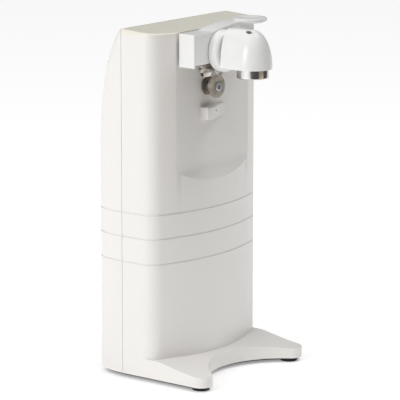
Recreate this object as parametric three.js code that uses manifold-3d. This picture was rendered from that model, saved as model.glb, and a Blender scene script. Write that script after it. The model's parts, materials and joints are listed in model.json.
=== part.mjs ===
// Tall electric can opener, modelled as an assembly of separate named pieces.
// Units are millimetres. +Z is up, the front faces -Y and the user's right is +X.
// Pieces are drawn with y = 0 on the seam between the front housing and the rear cover;
// the last step slides the whole assembly along Y so that its box is centred on the origin.

import * as THREE from 'three';
import { mergeVertices } from 'three/addons/utils/BufferGeometryUtils.js';
import Module from 'manifold-3d';

const wasm = await Module();
wasm.setup();

// ---------------------------------------------------------------- driving dimensions

// Clearances
const GAP = 0.3; // between pieces that touch or are fixed to each other
const RUNNING = 0.1; // radial, between a turning shaft and its bearing
const SLIDING = 0.35; // around pieces that slide inside others

// Housing shells
const HEIGHT = 245; // table to the highest point of the housing
const HALF_WIDTH = 59.3;
const FRONT_DEPTH = 38.7; // seam to the middle of the bowed front
const FRONT_RADIUS = 143; // bow of the front in plan
const FRONT_CORNER = 12;
const REAR_CORNER = 20; // run of the rounded rear corners along the back
const REAR_CROWN = 85; // height over which the back curves in to the seam
const WALL = 2.5;
const BASE_Z = 3.1; // underside of the housing shells
const TOP_FALL = 1.9; // drop of the top face from the seam to the recess
const TOP_ROUND = 2; // rounding of the top face's front edge
const GROOVE_HEIGHTS = [83.3, 101, 118];
const GROOVE_WIDTH = 1.3;
const GROOVE_DEPTH = 0.7;

// Flat recess in the upper front, with a sloping ledge under it
const RECESS_SINK = 5.7; // recess behind the middle of the bow
const RECESS_Y = RECESS_SINK - FRONT_DEPTH;
const LEDGE_TOP = HEIGHT - 99.5;
const LEDGE_SLOPE = 1.4; // fall per unit of depth

// Forward feet of the front housing
const FOOT_SPREAD = 0.3; // feet outside the housing's sides
const FOOT_HALF_WIDTH = HALF_WIDTH + FOOT_SPREAD;
const FOOT_TIP_RADIUS = 8;
const FOOT_ARC_DEPTH = FRONT_DEPTH + 5.3; // seam to the middle of the concave front edge
const FOOT_ARC_RADIUS = FOOT_HALF_WIDTH - 5.6; // concave edge between the rounded toes
const FOOT_ROOT_Z = 15.6; // top of the foot where it leaves the front face
const FOOT_TIP_Z = 10.2;
const FOOT_ROUND = 2.5;

// Base plate and rubber pads
const PLATE_THICK = 1;
const PLATE_INSET = 2; // set back under the shells' walls, so that only a dark gap shows
const PAD_RADIUS = 6;
const PAD_STEM_RADIUS = 2;

// Drive train: module 1 gears with stub teeth
const MODULE = 1;
const PRESSURE_ANGLE = THREE.MathUtils.degToRad(25);
const BACKLASH = 0.22; // taken off each tooth at the pitch circle
const DRIVE_TEETH = 60;
const IDLER_PINION_TEETH = 10;
const IDLER_TEETH = 54;
const MOTOR_PINION_TEETH = 9;
const DRIVE_X = -6.2;
const DRIVE_Z = HEIGHT - 42.2;
const IDLER_OFFSET_X = 8; // idler axis, to the right of the drive axis
const MOTOR_X = 0;
const SHAFT_RADIUS = 3;
const IDLER_POST_RADIUS = 2;
const ROTOR_SHAFT_RADIUS = 1.6;

// Drive wheel
const WHEEL_RADIUS = 8;
const WHEEL_TEETH = 26;
const WHEEL_FRONT = RECESS_Y - 10;
const WHEEL_THICK = 4.4;

// Cutting lever
const LEVER_LEFT = -39.2;
const LEVER_FRONT = RECESS_Y - 14.8;
const LEVER_BACK = RECESS_Y - 1.8;
const LEVER_TOP = HEIGHT - 2.4;
const LEVER_BOTTOM = LEVER_TOP - 21.3;
const LEVER_LIP = 1.8; // how far the left cheek hangs below the lever
const LEVER_PIVOT_X = LEVER_LEFT + 9.2;
const LEVER_PIVOT_Z = LEVER_TOP - 11.6;
const PADDLE_X = 25;
const PADDLE_RADIUS = 12;
const PADDLE_Y = LEVER_FRONT + 1.3;
const PADDLE_TOP = LEVER_TOP + 5.4;
const PADDLE_THICK = 3.2;
const CRANK_LENGTH = 9;

// Hub, magnet and hood in front of the lever
const MAGNET_RADIUS = 11;
const MAGNET_HEIGHT = 9.4;
const MAGNET_PLAY = 0.4; // around the magnet inside its hood
const HUB_X = -9.9;
const HUB_Z = LEVER_TOP - 13.5;
const HUB_RADIUS = 14.5;
const HUB_FRONT = LEVER_FRONT - 8;
const NECK_RADIUS = 8;
const NECK_FRONT = HUB_FRONT - 4.7;
const HINGE_Y = NECK_FRONT - 2;
const HINGE_Z = HUB_Z + 9.4;
const HOOD_BACK = NECK_FRONT - 1.1;
const HOOD_BACK_TOP = HOOD_BACK + 3.7;
const HOOD_BOTTOM = HUB_Z - 8.8;
const HOOD_WALL = 2;
const HOOD_RADIUS = MAGNET_RADIUS + MAGNET_PLAY + HOOD_WALL;
const HOOD_HEIGHT = 25.3;
const MAGNET_Y = HOOD_BACK - HOOD_WALL - 2 * MAGNET_PLAY - MAGNET_RADIUS;
const MAGNET_BOTTOM = HOOD_BOTTOM - 7.7;

// Depths of the inner layers, front to back
const CHASSIS_SPACE = 8.5; // between the recess wall and the chassis plate
const CHASSIS_THICK = 1.5;
const GEAR_LAYER = 0.9; // space between neighbouring layers
const DRIVE_GEAR_THICK = 6;
const IDLER_GEAR_THICK = 4.5;
const BRACKET_THICK = 1.5;
const STACK_THICK = 20; // motor laminations
const FAN_DEPTH = 4;
const REAR_SPACE = 2.7; // between the end of the rotor shaft and the rear wall

// ---------------------------------------------------------------- derived places

const CHASSIS_FRONT = RECESS_Y + WALL + CHASSIS_SPACE;
const CHASSIS_BACK = CHASSIS_FRONT + CHASSIS_THICK;
const DRIVE_GEAR_FRONT = CHASSIS_BACK + GEAR_LAYER;
const DRIVE_GEAR_BACK = DRIVE_GEAR_FRONT + DRIVE_GEAR_THICK;
const IDLER_GEAR_FRONT = DRIVE_GEAR_BACK + GEAR_LAYER;
const IDLER_GEAR_BACK = IDLER_GEAR_FRONT + IDLER_GEAR_THICK;
const BRACKET_FRONT = IDLER_GEAR_BACK + GEAR_LAYER + 1;
const STACK_FRONT = BRACKET_FRONT + BRACKET_THICK + GAP;
const STACK_BACK = STACK_FRONT + STACK_THICK;
const REAR_BRACKET_Y = STACK_BACK + GAP;
const FAN_FRONT = REAR_BRACKET_Y + BRACKET_THICK + 1.8;
const ROTOR_SHAFT_BACK = FAN_FRONT + FAN_DEPTH + 0.8;
const REAR_DEPTH = ROTOR_SHAFT_BACK + REAR_SPACE + WALL; // seam to the back

const idlerSpacing = (MODULE * (DRIVE_TEETH + IDLER_PINION_TEETH)) / 2;
const motorSpacing = (MODULE * (IDLER_TEETH + MOTOR_PINION_TEETH)) / 2;
const IDLER_X = DRIVE_X + IDLER_OFFSET_X;
const IDLER_Z = DRIVE_Z - Math.sqrt(idlerSpacing ** 2 - IDLER_OFFSET_X ** 2);
const MOTOR_Z = IDLER_Z - Math.sqrt(motorSpacing ** 2 - (IDLER_X - MOTOR_X) ** 2);

// The bow of the front and its rounded corners touch where their centres line up
const cornerX = HALF_WIDTH - FRONT_CORNER;
const cornerReach = FRONT_RADIUS - FRONT_CORNER;
const bowCentreY = FRONT_RADIUS - FRONT_DEPTH;
const cornerY = bowCentreY - Math.sqrt(cornerReach ** 2 - cornerX ** 2);
const cornerSpread = Math.asin(cornerX / cornerReach);

const footRootY = cornerY + 3;
const footTipX = FOOT_HALF_WIDTH - FOOT_TIP_RADIUS;
const footArcY = -FOOT_ARC_DEPTH - FOOT_ARC_RADIUS;
const footTipY = footArcY + Math.sqrt((FOOT_ARC_RADIUS + FOOT_TIP_RADIUS) ** 2 - footTipX ** 2);

// ---------------------------------------------------------------- solids from geometries

function solid(geometry) {
  const bare = geometry.index ? geometry.toNonIndexed() : geometry.clone();
  bare.deleteAttribute('normal');
  bare.deleteAttribute('uv');
  const merged = mergeVertices(bare, 1e-4);
  return new wasm.Manifold(
    new wasm.Mesh({
      numProp: 3,
      vertProperties: new Float32Array(merged.attributes.position.array),
      triVerts: new Uint32Array(merged.index.array),
    }),
  );
}

function box(low, high) {
  const size = new THREE.Vector3(...high).sub(new THREE.Vector3(...low));
  const middle = new THREE.Vector3(...high).add(new THREE.Vector3(...low)).multiplyScalar(0.5);
  return solid(new THREE.BoxGeometry(size.x, size.y, size.z).translate(middle.x, middle.y, middle.z));
}

// A shape drawn in X and Y, raised from z0 to z1
function extrudeZ(shape, z0, z1, curveSegments = 24) {
  const geometry = new THREE.ExtrudeGeometry(shape, { depth: z1 - z0, bevelEnabled: false, curveSegments });
  return solid(geometry.translate(0, 0, z0));
}

// A shape drawn in X and Z, carried from y0 back to y1
function extrudeY(shape, y0, y1, curveSegments = 24) {
  const geometry = new THREE.ExtrudeGeometry(shape, { depth: y1 - y0, bevelEnabled: false, curveSegments });
  return solid(geometry.rotateX(Math.PI / 2).translate(0, y1, 0));
}

// A shape drawn in Y and Z, carried from x0 to x1
function extrudeX(shape, x0, x1, curveSegments = 24) {
  const geometry = new THREE.ExtrudeGeometry(shape, { depth: x1 - x0, bevelEnabled: false, curveSegments });
  const turn = new THREE.Matrix4().makeBasis(
    new THREE.Vector3(0, 1, 0),
    new THREE.Vector3(0, 0, 1),
    new THREE.Vector3(1, 0, 0),
  );
  return solid(geometry.applyMatrix4(turn).translate(x0, 0, 0));
}

function rodY(x, z, radius, y0, y1, segments = 24) {
  const geometry = new THREE.CylinderGeometry(radius, radius, y1 - y0, segments);
  return solid(geometry.translate(x, (y0 + y1) / 2, z));
}

function rodZ(x, y, radius, z0, z1, segments = 24) {
  const geometry = new THREE.CylinderGeometry(radius, radius, z1 - z0, segments);
  return solid(geometry.rotateX(Math.PI / 2).translate(x, y, (z0 + z1) / 2));
}

function rodX(y, z, radius, x0, x1, segments = 24) {
  const geometry = new THREE.CylinderGeometry(radius, radius, x1 - x0, segments);
  return solid(geometry.rotateZ(Math.PI / 2).translate((x0 + x1) / 2, y, z));
}

// A ring of material along Y between two radii
function tubeY(x, z, outer, inner, y0, y1, segments = 24) {
  return rodY(x, z, outer, y0, y1, segments).subtract(rodY(x, z, inner, y0 - 1, y1 + 1, segments));
}

function polygon(points) {
  return new THREE.Shape(points.map(([a, b]) => new THREE.Vector2(a, b)));
}

function joinAll(solids) {
  return solids.reduce((sum, next) => sum.add(next));
}

function node(name, shape, material) {
  const mesh = shape.getMesh();
  const geometry = new THREE.BufferGeometry();
  geometry.setAttribute('position', new THREE.BufferAttribute(new Float32Array(mesh.vertProperties), 3));
  geometry.setIndex(new THREE.BufferAttribute(new Uint32Array(mesh.triVerts), 1));
  geometry.computeVertexNormals();
  const result = new THREE.Mesh(geometry, material);
  result.name = name;
  return result;
}

// ---------------------------------------------------------------- materials

function finish(color, roughness, metalness) {
  return new THREE.MeshStandardMaterial({ color, roughness, metalness });
}

const whitePlastic = finish(0xf1f0ec, 0.28, 0);
const blackPlastic = finish(0x1b1b1b, 0.5, 0);
const blackRubber = finish(0x141414, 0.85, 0);
const chrome = finish(0xd8d8d8, 0.08, 1);
const brushedSteel = finish(0xa9a294, 0.35, 1);
const toolSteel = finish(0x8d7f68, 0.42, 1);
const zincSteel = finish(0xb8bcc0, 0.4, 1);
const bronze = finish(0x9a7038, 0.45, 1);
const gearNylon = finish(0xe9e4d2, 0.5, 0);
const laminations = finish(0x5b5f66, 0.55, 1);
const copper = finish(0xa8542a, 0.4, 1);
const switchPlastic = finish(0x2a2622, 0.5, 0);

// ---------------------------------------------------------------- housing outlines

// Front half of the housing in plan, from seam to seam, kept `inset` inside the skin
function frontPlan(inset, seamY) {
  const halfWidth = HALF_WIDTH - inset;
  const corner = FRONT_CORNER - inset;
  const bow = FRONT_RADIUS - inset;
  const shape = new THREE.Shape();
  shape.moveTo(-halfWidth, seamY);
  shape.lineTo(-halfWidth, cornerY);
  shape.absarc(-cornerX, cornerY, corner, Math.PI, Math.PI * 1.5 - cornerSpread, false);
  shape.absarc(0, bowCentreY, bow, Math.PI * 1.5 - cornerSpread, Math.PI * 1.5 + cornerSpread, false);
  shape.absarc(cornerX, cornerY, corner, Math.PI * 1.5 + cornerSpread, Math.PI * 2, false);
  shape.lineTo(halfWidth, seamY);
  shape.closePath();
  return shape;
}

const REAR_OVERLAP = 6; // the rear outlines start this far in front of the seam and are cut back to it

// Rear half of the housing in plan: the sides draw in gently before the rounded corners
function rearPlan(inset) {
  const halfWidth = HALF_WIDTH - inset;
  const depth = REAR_DEPTH - inset;
  const shape = new THREE.Shape();
  shape.moveTo(halfWidth, -REAR_OVERLAP);
  shape.lineTo(halfWidth, 0);
  shape.bezierCurveTo(halfWidth - 1, depth * 0.55, halfWidth - 3, depth, halfWidth - REAR_CORNER, depth);
  shape.lineTo(-halfWidth + REAR_CORNER, depth);
  shape.bezierCurveTo(-halfWidth + 3, depth, -halfWidth + 1, depth * 0.55, -halfWidth, 0);
  shape.lineTo(-halfWidth, -REAR_OVERLAP);
  shape.closePath();
  return shape;
}

// Side view of the rear cover: upright below, a quarter ellipse up to the seam above
function rearProfile(inset) {
  const crownBase = HEIGHT - REAR_CROWN;
  const low = inset > 0 ? BASE_Z - 1 : BASE_Z;
  const shape = new THREE.Shape();
  shape.moveTo(-REAR_OVERLAP, low);
  shape.lineTo(REAR_DEPTH - inset, low);
  shape.lineTo(REAR_DEPTH - inset, crownBase);
  shape.absellipse(0, crownBase, REAR_DEPTH - inset, REAR_CROWN - inset, 0, Math.PI / 2, false, 0);
  shape.lineTo(-REAR_OVERLAP, HEIGHT - inset);
  shape.closePath();
  return shape;
}

// Side view of the front housing, with the flat recess, the sloping ledge and the falling top
function frontProfile(inset, seamY) {
  const reach = FRONT_DEPTH + 5;
  const flat = RECESS_Y + inset;
  const ledge = LEDGE_TOP - inset * 0.5;
  const topFront = HEIGHT - TOP_FALL - inset;
  const round = Math.max(TOP_ROUND - inset, 0.2);
  const shape = new THREE.Shape();
  shape.moveTo(seamY, BASE_Z - (inset > 0 ? 2 : 0));
  shape.lineTo(seamY, HEIGHT - inset);
  shape.lineTo(flat + round, topFront);
  shape.quadraticCurveTo(flat, topFront, flat, topFront - round);
  shape.lineTo(flat, ledge);
  shape.lineTo(-reach, ledge - (flat + reach) * LEDGE_SLOPE);
  shape.lineTo(-reach, BASE_Z - (inset > 0 ? 2 : 0));
  shape.closePath();
  return shape;
}

// Outline of the two feet and the concave edge between them, kept `inset` inside the skin
function feetPlan(inset) {
  const tip = FOOT_TIP_RADIUS - inset;
  const arc = FOOT_ARC_RADIUS + inset;
  const lean = Math.atan2(footTipX, footTipY - footArcY);
  const shape = new THREE.Shape();
  shape.moveTo(-HALF_WIDTH + inset, footRootY);
  shape.lineTo(-footTipX - tip, footTipY);
  shape.absarc(-footTipX, footTipY, tip, Math.PI, Math.PI * 2.5 - (Math.PI - lean), false);
  shape.absarc(0, footArcY, arc, Math.PI / 2 + lean, Math.PI / 2 - lean, true);
  shape.absarc(footTipX, footTipY, tip, -Math.PI / 2 - lean, 0, false);
  shape.lineTo(HALF_WIDTH - inset, footRootY);
  shape.closePath();
  return shape;
}

// Side view of the feet: the top falls towards the tips and rounds over
function feetProfile(inset) {
  const front = footTipY - FOOT_TIP_RADIUS;
  const low = inset > 0 ? BASE_Z - 1 : BASE_Z;
  const shape = new THREE.Shape();
  shape.moveTo(footRootY, low);
  shape.lineTo(footRootY, FOOT_ROOT_Z + 1 - inset);
  shape.lineTo(-FRONT_DEPTH, FOOT_ROOT_Z - inset);
  shape.quadraticCurveTo(-FRONT_DEPTH - 8, FOOT_ROOT_Z - 3 - inset, front + 12, FOOT_TIP_Z - inset);
  shape.lineTo(front + FOOT_ROUND, FOOT_TIP_Z - inset);
  shape.quadraticCurveTo(front, FOOT_TIP_Z - inset, front, FOOT_TIP_Z - FOOT_ROUND - inset);
  shape.lineTo(front, low);
  shape.closePath();
  return shape;
}

// ---------------------------------------------------------------- housing pieces

const COVER_SCREW_X = HALF_WIDTH - 15.3;
const COVER_SCREW_HEIGHTS = [40, HEIGHT - 55];
const COVER_BOSS_RADIUS = 4.5;
const SCREW_RADIUS = 1.7;
const SCREW_HEAD_RADIUS = 3.4;
const COVER_SEAT_Y = 6; // where the cover screws' heads seat in the rear cover
const COVER_SCREW_REACH = 12; // how far the screws enter the front bosses
const SWITCH_LEFT = LEVER_PIVOT_X - CRANK_LENGTH - 7;
const CHASSIS_HALF_WIDTH = COVER_SCREW_X - COVER_BOSS_RADIUS - 1.5;
const CHASSIS_TOP = LEVER_PIVOT_Z + 5;
const CHASSIS_BOTTOM = MOTOR_Z - 25;
const CHASSIS_SCREWS = [
  [SWITCH_LEFT + 3, CHASSIS_TOP - 12],
  [CHASSIS_HALF_WIDTH - 4, CHASSIS_TOP - 10],
  [-CHASSIS_HALF_WIDTH + 5, CHASSIS_BOTTOM + 6],
  [CHASSIS_HALF_WIDTH - 5, CHASSIS_BOTTOM + 6],
];
const CHASSIS_POST_RADIUS = 4;
const BUSH_WALL = 2;
const FLANGE_THICK = 0.9;

function coverScrewPlaces() {
  return COVER_SCREW_HEIGHTS.flatMap((z) => [
    [-COVER_SCREW_X, z],
    [COVER_SCREW_X, z],
  ]);
}

// Bands that are cut into the skin of a shell, one at each groove height
function grooveCutter(outerPlan, innerPlan) {
  const bands = GROOVE_HEIGHTS.map((z) => {
    const low = z - GROOVE_WIDTH / 2;
    const high = z + GROOVE_WIDTH / 2;
    return extrudeZ(outerPlan, low, high, 4).subtract(extrudeZ(innerPlan, low - 1, high + 1, 4));
  });
  return joinAll(bands);
}

// Small wedge that stands out of the recess under the drive wheel and steadies the can
const REST_LEFT = -14;
const REST_RIGHT = 19;
const REST_BOTTOM = DRIVE_Z - 22.8;
const REST_TOP = REST_BOTTOM + 8.6;
const REST_REACH = 7;

function canRest() {
  const plan = polygon([
    [REST_LEFT, RECESS_Y + WALL / 2],
    [REST_LEFT, RECESS_Y - REST_REACH],
    [REST_LEFT + 3, RECESS_Y - REST_REACH],
    [REST_RIGHT, RECESS_Y + WALL / 2],
  ]);
  return extrudeZ(plan, REST_BOTTOM, REST_TOP);
}

function frontHousing() {
  const seam = -GAP / 2;
  const skin = extrudeZ(frontPlan(0, seam), BASE_Z, HEIGHT, 6).intersect(
    extrudeX(frontProfile(0, seam), -HALF_WIDTH - 1, HALF_WIDTH + 1, 4),
  );
  const feet = extrudeZ(feetPlan(0), BASE_Z, FOOT_ROOT_Z + 2, 8).intersect(
    extrudeX(feetProfile(0), -FOOT_HALF_WIDTH - 1, FOOT_HALF_WIDTH + 1, 5),
  );
  const hollow = extrudeZ(frontPlan(WALL, 5), BASE_Z - 1, HEIGHT, 4).intersect(
    extrudeX(frontProfile(WALL, 5), -HALF_WIDTH - 1, HALF_WIDTH + 1, 1),
  );
  const feetHollow = extrudeZ(feetPlan(WALL), BASE_Z - 1, FOOT_ROOT_Z, 4).intersect(
    extrudeX(feetProfile(WALL), -FOOT_HALF_WIDTH - 1, FOOT_HALF_WIDTH + 1, 3),
  );
  const bosses = coverScrewPlaces().map(([x, z]) =>
    rodY(x, z, COVER_BOSS_RADIUS, -FRONT_DEPTH + 4, -GAP, 14),
  );
  const posts = CHASSIS_SCREWS.map(([x, z]) =>
    rodY(x, z, CHASSIS_POST_RADIUS, -FRONT_DEPTH + 2, CHASSIS_FRONT - GAP, 14),
  );
  const inside = joinAll([...bosses, ...posts]).intersect(skin);
  const pilots = coverScrewPlaces().map(([x, z]) =>
    rodY(x, z, SCREW_RADIUS + GAP, -COVER_SCREW_REACH - 2, 1, 12),
  );
  const postPilots = CHASSIS_SCREWS.map(([x, z]) =>
    rodY(x, z, SCREW_RADIUS + GAP, CHASSIS_FRONT - 5.5, CHASSIS_FRONT + 1, 12),
  );
  const bushHoles = [
    rodY(DRIVE_X, DRIVE_Z, SHAFT_RADIUS + BUSH_WALL + GAP, RECESS_Y - 1, RECESS_Y + WALL + 1),
    rodY(LEVER_PIVOT_X, LEVER_PIVOT_Z, SHAFT_RADIUS + BUSH_WALL + GAP, RECESS_Y - 1, RECESS_Y + WALL + 1),
  ];
  return skin
    .add(feet)
    .subtract(hollow)
    .subtract(feetHollow)
    .add(inside)
    .add(canRest())
    .subtract(joinAll([...pilots, ...postPilots, ...bushHoles]))
    .subtract(grooveCutter(frontPlan(-2, seam + 1), frontPlan(GROOVE_DEPTH, seam + 2)));
}

const GLAND_X = 30;
const GLAND_Z = 16;
const GLAND_RADIUS = 5;
const FLEX_WIDTH = 6; // flat two-core flex
const FLEX_HEIGHT = 3.2;

function rearCover() {
  const seam = GAP / 2;
  const across = HALF_WIDTH + 1;
  const ahead = box([-across, -REAR_OVERLAP - 1, 0], [across, seam, HEIGHT + 1]);
  const skin = extrudeZ(rearPlan(0), BASE_Z, HEIGHT, 10)
    .intersect(extrudeX(rearProfile(0), -across, across, 10))
    .subtract(ahead);
  const hollow = extrudeZ(rearPlan(WALL), BASE_Z - 1, HEIGHT, 6).intersect(
    extrudeX(rearProfile(WALL), -across, across, 6),
  );
  const postRadius = SCREW_HEAD_RADIUS + GAP + 1.6;
  const posts = coverScrewPlaces().map(([x, z]) => rodY(x, z, postRadius, seam, REAR_DEPTH, 16));
  const wells = coverScrewPlaces().map(([x, z]) =>
    rodY(x, z, SCREW_HEAD_RADIUS + GAP, COVER_SEAT_Y, REAR_DEPTH + 5, 16),
  );
  const screwHole = SCREW_RADIUS + GAP;
  const holes = coverScrewPlaces().map(([x, z]) => rodY(x, z, screwHole, -1, COVER_SEAT_Y + 1, 12));
  const glandHole = rodY(GLAND_X, GLAND_Z, GLAND_RADIUS + GAP, REAR_DEPTH - WALL - 2, REAR_DEPTH + 5, 24);
  return skin
    .subtract(hollow)
    .add(joinAll(posts).intersect(skin))
    .subtract(joinAll([...wells, ...holes, glandHole]))
    .subtract(grooveCutter(rearPlan(-2), rearPlan(GROOVE_DEPTH)));
}

function coverScrew(x, z) {
  const head = rodY(x, z, SCREW_HEAD_RADIUS, COVER_SEAT_Y + GAP, COVER_SEAT_Y + GAP + 2.2, 16);
  const shank = rodY(x, z, SCREW_RADIUS, -COVER_SCREW_REACH, COVER_SEAT_Y + GAP + 0.5, 12);
  return head.add(shank);
}

const PADS = [
  ['front_left', -footTipX + 1, footTipY + 1],
  ['front_right', footTipX - 1, footTipY + 1],
  ['rear_left', -HALF_WIDTH + 18, REAR_DEPTH - 14],
  ['rear_right', HALF_WIDTH - 18, REAR_DEPTH - 14],
];

function basePlate() {
  const top = BASE_Z - GAP;
  const low = top - PLATE_THICK;
  const plate = joinAll([
    extrudeZ(frontPlan(PLATE_INSET, 0), low, top, 5),
    extrudeZ(feetPlan(PLATE_INSET), low, top, 8),
    extrudeZ(rearPlan(PLATE_INSET), low, top, 6),
  ]);
  const holes = PADS.map(([, x, y]) => rodZ(x, y, PAD_STEM_RADIUS + GAP, low - 1, top + 1, 10));
  return plate.subtract(joinAll(holes));
}

function pad(x, y) {
  const plateLow = BASE_Z - GAP - PLATE_THICK;
  const stem = rodZ(x, y, PAD_STEM_RADIUS, plateLow - 1, BASE_Z + 1.5, 10);
  return rodZ(x, y, PAD_RADIUS, 0, plateLow - GAP, 20).add(stem);
}

function cordGland() {
  const outside = rodY(GLAND_X, GLAND_Z, GLAND_RADIUS + 1.6, REAR_DEPTH + GAP, REAR_DEPTH + 1.6, 24);
  const sleeve = rodY(GLAND_X, GLAND_Z, GLAND_RADIUS, REAR_DEPTH - WALL - 2, REAR_DEPTH + 1, 24);
  const bore = box(
    [GLAND_X - FLEX_WIDTH / 2, 0, GLAND_Z - FLEX_HEIGHT / 2],
    [GLAND_X + FLEX_WIDTH / 2, REAR_DEPTH + 5, GLAND_Z + FLEX_HEIGHT / 2],
  );
  return outside.add(sleeve).subtract(bore);
}

// ---------------------------------------------------------------- gears

// Outline of an involute stub-tooth gear, with one tooth centred at `phase` radians
function gearOutline(teeth, phase) {
  const pitch = (MODULE * teeth) / 2;
  const base = pitch * Math.cos(PRESSURE_ANGLE);
  const tip = pitch + 0.75 * MODULE;
  const root = pitch - 1.0 * MODULE;
  const involute = (radius) => {
    const angle = Math.acos(Math.min(1, base / radius));
    return Math.tan(angle) - angle;
  };
  const halfTooth = Math.PI / (2 * teeth) - BACKLASH / 2 / pitch;
  const start = Math.max(base, root);
  const steps = teeth > 30 ? [0, 1] : [0, 0.5, 1];
  const flank = steps.map((share) => {
    const radius = start + (tip - start) * share;
    return [radius, halfTooth + involute(pitch) - involute(radius)];
  });
  const rising = [[root, flank[0][1]], ...flank].filter(([radius], i) => i > 0 || radius < start - 0.05);
  const points = [];
  for (let i = 0; i < teeth; i += 1) {
    const middle = phase + (i * 2 * Math.PI) / teeth;
    for (const [radius, half] of rising) {
      points.push([radius * Math.cos(middle - half), radius * Math.sin(middle - half)]);
    }
    for (const [radius, half] of [...rising].reverse()) {
      points.push([radius * Math.cos(middle + half), radius * Math.sin(middle + half)]);
    }
  }
  return points;
}

function gear(x, z, teeth, phase, y0, y1) {
  const points = gearOutline(teeth, phase).map(([a, b]) => [x + a, z + b]);
  return extrudeY(polygon(points), y0, y1);
}

// Direction from one axis to another, as an angle in the X-Z plane
function bearing(fromX, fromZ, toX, toZ) {
  return Math.atan2(toZ - fromZ, toX - fromX);
}

const driveToIdler = bearing(DRIVE_X, DRIVE_Z, IDLER_X, IDLER_Z);
const idlerToMotor = bearing(IDLER_X, IDLER_Z, MOTOR_X, MOTOR_Z);

function driveGear() {
  const blank = gear(DRIVE_X, DRIVE_Z, DRIVE_TEETH, driveToIdler, DRIVE_GEAR_FRONT, DRIVE_GEAR_BACK);
  const rim = (MODULE * DRIVE_TEETH) / 2 - 4;
  const web = tubeY(DRIVE_X, DRIVE_Z, rim, SHAFT_RADIUS + 4, DRIVE_GEAR_BACK - 3, DRIVE_GEAR_BACK + 1, 28);
  const bore = rodY(DRIVE_X, DRIVE_Z, SHAFT_RADIUS + GAP, DRIVE_GEAR_FRONT - 1, DRIVE_GEAR_BACK + 1);
  return blank.subtract(web).subtract(bore);
}

function idlerGear() {
  const pinionPhase = driveToIdler + Math.PI + Math.PI / IDLER_PINION_TEETH;
  const wheel = gear(IDLER_X, IDLER_Z, IDLER_TEETH, idlerToMotor, IDLER_GEAR_FRONT, IDLER_GEAR_BACK);
  const pinion = gear(
    IDLER_X,
    IDLER_Z,
    IDLER_PINION_TEETH,
    pinionPhase,
    DRIVE_GEAR_FRONT,
    IDLER_GEAR_FRONT + 1,
  );
  const rim = (MODULE * IDLER_TEETH) / 2 - 4;
  const hub = IDLER_POST_RADIUS + 4;
  const web = tubeY(IDLER_X, IDLER_Z, rim, hub, IDLER_GEAR_BACK - 2, IDLER_GEAR_BACK + 1, 28);
  const boreRadius = IDLER_POST_RADIUS + RUNNING;
  const bore = rodY(IDLER_X, IDLER_Z, boreRadius, DRIVE_GEAR_FRONT - 1, IDLER_GEAR_BACK + 1);
  return wheel.add(pinion).subtract(web).subtract(bore);
}

function motorPinion() {
  const phase = idlerToMotor + Math.PI + Math.PI / MOTOR_PINION_TEETH;
  const low = IDLER_GEAR_FRONT - 0.4;
  const high = IDLER_GEAR_BACK + 0.4;
  const bore = rodY(MOTOR_X, MOTOR_Z, ROTOR_SHAFT_RADIUS + GAP, low - 1, high + 1, 20);
  return gear(MOTOR_X, MOTOR_Z, MOTOR_PINION_TEETH, phase, low, high).subtract(bore);
}

// ---------------------------------------------------------------- drive wheel and its shaft

const WHEEL_BACK = WHEEL_FRONT + WHEEL_THICK;
const WHEEL_SCREW_RADIUS = 1.6;
const WHEEL_SCREW_HEAD = 3.2;

function driveWheel() {
  const points = [];
  for (let i = 0; i < WHEEL_TEETH; i += 1) {
    const step = (2 * Math.PI) / WHEEL_TEETH;
    for (const [share, depth] of [[0, 0.75], [0.35, 0], [0.65, 0]]) {
      const angle = (i + share) * step;
      points.push([
        DRIVE_X + (WHEEL_RADIUS - depth) * Math.cos(angle),
        DRIVE_Z + (WHEEL_RADIUS - depth) * Math.sin(angle),
      ]);
    }
  }
  const toothed = extrudeY(polygon(points), WHEEL_FRONT, WHEEL_FRONT + 2.6);
  const shoulder = rodY(DRIVE_X, DRIVE_Z, WHEEL_RADIUS - 1.6, WHEEL_FRONT + 2, WHEEL_BACK, 24);
  const seat = rodY(DRIVE_X, DRIVE_Z, WHEEL_SCREW_HEAD + GAP, WHEEL_FRONT - 1, WHEEL_FRONT + 1.6, 20);
  const bore = rodY(DRIVE_X, DRIVE_Z, WHEEL_SCREW_RADIUS + GAP, WHEEL_FRONT - 1, WHEEL_BACK + 1, 20);
  return toothed.add(shoulder).subtract(seat).subtract(bore);
}

function wheelScrew() {
  const seat = WHEEL_FRONT + 1.6 - GAP;
  const head = rodY(DRIVE_X, DRIVE_Z, WHEEL_SCREW_HEAD, WHEEL_FRONT - 0.6, seat, 20);
  const shank = rodY(DRIVE_X, DRIVE_Z, WHEEL_SCREW_RADIUS, seat - 0.5, WHEEL_BACK + 8, 16);
  const socket = rodY(DRIVE_X, DRIVE_Z, 1.9, WHEEL_FRONT - 2, WHEEL_FRONT + 0.9, 6);
  return head.add(shank).subtract(socket);
}

function driveShaft() {
  const front = WHEEL_BACK + GAP;
  const rod = rodY(DRIVE_X, DRIVE_Z, SHAFT_RADIUS, front, DRIVE_GEAR_BACK + 2.2);
  const thread = rodY(DRIVE_X, DRIVE_Z, WHEEL_SCREW_RADIUS + GAP, front - 1, WHEEL_BACK + 9, 16);
  return rod.subtract(thread);
}

function shaftBush(x, z) {
  const outer = SHAFT_RADIUS + BUSH_WALL;
  const front = RECESS_Y - GAP - FLANGE_THICK;
  const flange = rodY(x, z, outer + 1.5, front, RECESS_Y - GAP);
  const sleeve = rodY(x, z, outer, RECESS_Y - GAP - 0.5, RECESS_Y + WALL + 2);
  const bore = rodY(x, z, SHAFT_RADIUS + RUNNING, front - 1, RECESS_Y + WALL + 3);
  return flange.add(sleeve).subtract(bore);
}

function retainingClip(x, z, inner, y0) {
  const ring = tubeY(x, z, inner + 2.4, inner + GAP, y0, y0 + 0.8, 24);
  return ring.subtract(box([x - 1, y0 - 1, z - inner - 4], [x + 1, y0 + 2, z]));
}

// ---------------------------------------------------------------- chassis

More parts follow.
